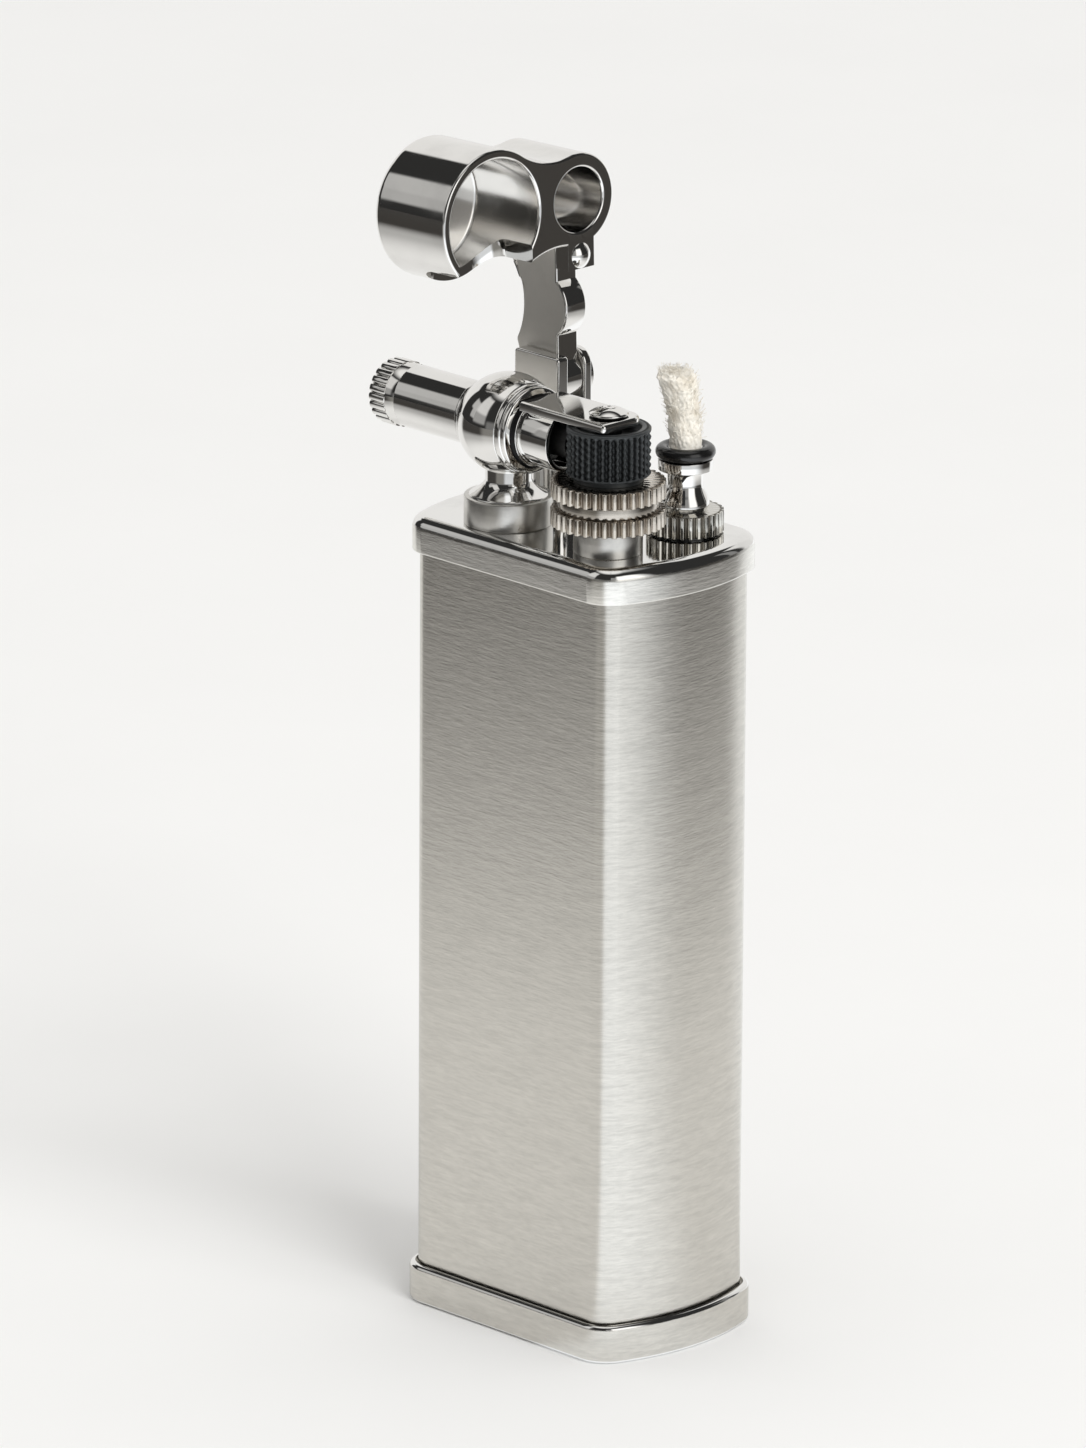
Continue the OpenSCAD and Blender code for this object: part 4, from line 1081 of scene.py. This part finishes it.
# %% [markdown]
# ## Camera
# The camera stands where the photographer stood: a long lens nearly a metre away, a little above
# the lighter. Its axes are written out, because the picture has a slight roll.

# %% Camera
tilt, side, roll = (math.radians(a) for a in (17.168, 45.686, 0.299))
shift_right, shift_up, distance = -2.5087, 41.0848, 933.2646
focal_px, picture_h, sensor = 13229.4, 1448, 36
right = Vector((math.cos(side), math.sin(side), 0))
back = Vector((math.sin(side) * math.cos(tilt), -math.cos(side) * math.cos(tilt), math.sin(tilt)))
up = back.cross(right)
right_r = right * math.cos(roll) + up * math.sin(roll)
up_r = up * math.cos(roll) - right * math.sin(roll)
eye = (right_r * shift_right + up_r * shift_up + back * distance) * MM
lens = bpy.data.cameras.new("photographer")
lens.sensor_width, lens.sensor_fit = sensor, "AUTO"
lens.lens = focal_px / picture_h * sensor
lens.clip_start, lens.clip_end = 0.05, 20
camera = bpy.data.objects.new("photographer", lens)
camera.matrix_world = Matrix.Translation(eye) @ Matrix((right_r, up_r, back)).transposed().to_4x4()
bpy.context.scene.collection.objects.link(camera)
bpy.context.scene.camera = camera
print("camera", [round(c, 3) for c in eye], "m, lens", round(lens.lens, 1), "mm")

# %% [markdown]
# ## The room that the metal mirrors
# Polished metal is a picture of its room. For mirrored rays the room is nearly black, with a pale
# wall ahead of the camera, a window on the left, a lamp behind the camera on the right and a pale
# ceiling. Each is a panel between two bearings and two heights, and its edges are soft. A camera
# ray sees none of it, so the backdrop stays white, and other rays get an even, soft light.

# %% Room tools
world = bpy.data.worlds.new("studio")
bpy.context.scene.world = world
world.use_nodes = True
room = world.node_tree
room.nodes.clear()


def room_node(kind, settings, inputs):
    made = room.nodes.new("ShaderNode" + kind)
    for name, value in settings.items():
        setattr(made, name, value)
    for name, value in inputs.items():
        if isinstance(value, bpy.types.NodeSocket):
            room.links.new(value, made.inputs[name])
        else:
            made.inputs[name].default_value = value
    return made


def maths(operation, first, second=0.0):
    return room_node("Math", {"operation": operation}, {0: first, 1: second}).outputs[0]


def between(value, start, end, blur):
    rise = room_node("MapRange", {"interpolation_type": "SMOOTHSTEP"},
                     {"Value": value, "From Min": start - blur,
                      "From Max": start + blur}).outputs[0]
    fall = room_node("MapRange", {"interpolation_type": "SMOOTHSTEP"},
                     {"Value": value, "From Min": end - blur, "From Max": end + blur,
                      "To Min": 1.0, "To Max": 0.0}).outputs[0]
    return maths("MULTIPLY", rise, fall)


print("room tools ready")

# %% Direction of a ray: bearing to the right of straight ahead, and height, in degrees
def ray_along(direction):
    return room_node("VectorMath", {"operation": "DOT_PRODUCT"},
                     {0: ray, 1: (*direction, 0)}).outputs["Value"]


ray = room_node("TexCoord", {}, {}).outputs["Generated"]
away_flat, right_flat = (-back).to_2d().normalized(), right.to_2d()
ahead, aside = ray_along(away_flat), ray_along(right_flat)
rise_up = room_node("SeparateXYZ", {}, {0: ray}).outputs["Z"]
bearing = maths("MULTIPLY", maths("ARCTAN2", aside, ahead), 180 / math.pi)
height = maths("MULTIPLY", maths("ARCSINE", rise_up), 180 / math.pi)


def panel(bearings, heights, strength, blur):
    across = between(bearing, *bearings, blur)
    return maths("MULTIPLY", maths("MULTIPLY", across, between(height, *heights, blur)), strength)


print("bearing and height of a ray ready")

# %% Panels: bearings, heights, strength and the blur of the edges
panels = [((-47, -31), (-95, 32), 0.86, 2),    # pale wall ahead, its low left end
          ((-31, 44), (-95, 52), 0.86, 2),     # pale wall ahead
          ((44, 60), (-20, 32), 0.80, 2),      # its low right end
          ((-124, -92), (22, 56), 0.70, 3),    # window on the left
          ((-124, -92), (4, 22), 0.34, 3),     # dimmer strip below it
          ((-92, -79), (8, 20), 0.44, 2),      # wall beside the window
          ((-92, -72), (20, 36), 0.50, 2),
          ((-181, -128), (-8, 12), 0.16, 4),   # faint glow behind the camera
          ((122, 160), (-2, 40), 1.3, 5),      # lamp behind the camera, on the right
          ((160, 181), (-8, 32), 0.28, 2),     # dim wall beside the lamp
          ((66, 72), (-20, 30), 0.22, 1),      # slit of light on the right
          ((-181, 181), (66, 95), 0.9, 8)]     # ceiling
shade = 0.03
for bearings, heights, strength, blur in panels:
    shade = maths("ADD", panel(bearings, heights, strength, blur), shade)
print("room panels:", len(panels))

# %% What each kind of ray gets
fill_light, backdrop, room_white, paper_white = 0.75, 0.9, (1, 0.99, 0.97, 1), (1, 1, 0.995, 1)
path = room_node("LightPath", {}, {}).outputs
polished = room_node("Mix", {"data_type": "FLOAT"},
                     {"Factor": path["Is Glossy Ray"], 2: fill_light, 3: shade}).outputs[0]
seen = room_node("Mix", {"data_type": "FLOAT"},
                 {"Factor": path["Is Camera Ray"], 2: polished, 3: backdrop}).outputs[0]
tone = room_node("Mix", {"data_type": "RGBA"},
                 {"Factor": path["Is Camera Ray"], 6: room_white, 7: paper_white}).outputs[2]
sky = room_node("Background", {}, {"Color": tone, "Strength": seen})
end = room.nodes.new("ShaderNodeOutputWorld")
room.links.new(sky.outputs[0], end.inputs["Surface"])
print("backdrop strength", backdrop)

# %% [markdown]
# ## The floor
# The camera sees one sheet of pale paper that keeps the lighter's shadow and fades into the
# backdrop far away. The brushed case and the mirrors see more of it than the camera does, and in a
# real studio the paper ends and the dark room begins. So for mirrored rays only, the floor turns
# dim further out, except straight ahead, and a glowing strip lies on the side of the lamp. That
# strip is a painted highlight: its glow gives the brushed case the bright band that the lamp would
# give it.

# %% Floor
floor_half, floor_z = 1500, -0.05
floor_bm = bmesh.new()
bmesh.ops.create_grid(floor_bm, x_segments=1, y_segments=1, size=floor_half)
placed(floor_bm, Matrix.Scale(MM, 4) @ Matrix.Translation((0, 0, floor_z)))
floor = raw_object("studio_floor", floor_bm)
paper = Finish("paper")
print("floor", round(2 * floor_half * MM), "m across")


# %% Where a point of the floor lies: metres out, and degrees round from straight ahead
def along(direction):
    return paper.node("VectorMath", {"operation": "DOT_PRODUCT"},
                      {0: paper.place, 1: (*direction, 0)}, out="Value")


def sector(start, started, end, ended):
    return paper.clamp(turn, start, started) * paper.clamp(turn, end, ended, 1.0, 0.0)


reach = paper.node("VectorMath", {"operation": "LENGTH"}, {0: paper.place}, out="Value")
turn = (along(right_flat) * -1).math("ARCTAN2", along(away_flat) * -1) * (180 / math.pi) + 180
off_ahead = sector(54, 68, 298, 310)
dim = (paper.clamp(reach, 0.07, 0.16) * 0.5 + paper.clamp(reach, 0.16, 0.26) * 0.5) * off_ahead
# painted highlight: the glowing strip, seen only by mirrored rays, puts the lamp's bright band on
# the brushed case
glow_strip = sector(98, 146, 192, 208) * paper.clamp(reach, 0.22, 0.32, 1.0, 0.55)
glow_strip = glow_strip * paper.clamp(reach, 0.013, 0.030, 0.4, 1.0) + 0.5 * sector(18, 30, 52, 66)
camera_side = sector(192, 208, 235, 250)
print("floor fields ready")


# %% Finishes of the floor
def matt(colour):
    return paper.node("BsdfPrincipled", {}, {"Base Color": colour, "Roughness": 0.9}, out="BSDF")


def light(colour, strength):
    return paper.node("Emission", {}, {"Color": colour, "Strength": strength}, out="Emission")


def blend(share, first, second):
    return paper.node("MixShader", {}, {"Fac": share, 1: first, 2: second}, out="Shader")


fibre = paper.speckle(40, 3, 0.5)
sheet = matt(paper.mix(fibre, (0.88, 0.88, 0.875, 1), (0.91, 0.91, 0.905, 1)))
gloom = matt(paper.mix(camera_side, (0.036, 0.032, 0.028, 1), (0.21, 0.205, 0.19, 1)))
# glow of the painted highlight strip
glow = light((0.94, 0.97, 1, 1), 1.42)
haze = light(paper_white, backdrop)
glossy_ray = paper.node("LightPath", {}, {}, out="Is Glossy Ray")
camera_ray = paper.node("LightPath", {}, {}, out="Is Camera Ray")
lit = blend(glossy_ray * glow_strip, blend(glossy_ray * dim, sheet, gloom), glow)
paper.node_output(blend(camera_ray * paper.clamp(reach, 0.30, 0.95), lit, haze))
floor.data.materials.append(paper.material)
print("floor ready")

# %% [markdown]
# ## The lamp
# One large softbox high on the right, toward the camera, throws the soft shadow to the left. The
# metal doesn't mirror it, because the room's own lamp panel already stands in for it.

# %% Key lamp
lamp_at, lamp_aim, lamp_side = Vector((1.82, -0.286, 1.57)), Vector((0, 0, 0.03)), 1.4
lamp = bpy.data.lights.new("key_box", "AREA")
lamp.shape, lamp.size, lamp.size_y, lamp.energy = "RECTANGLE", lamp_side, lamp_side, 33
key = bpy.data.objects.new("key_box", lamp)
key.location = lamp_at
key.rotation_euler = (lamp_aim - lamp_at).to_track_quat("-Z", "Y").to_euler()
key.visible_glossy = False
bpy.context.scene.collection.objects.link(key)
bpy.context.scene.view_settings.view_transform = "Standard"
print("studio ready")
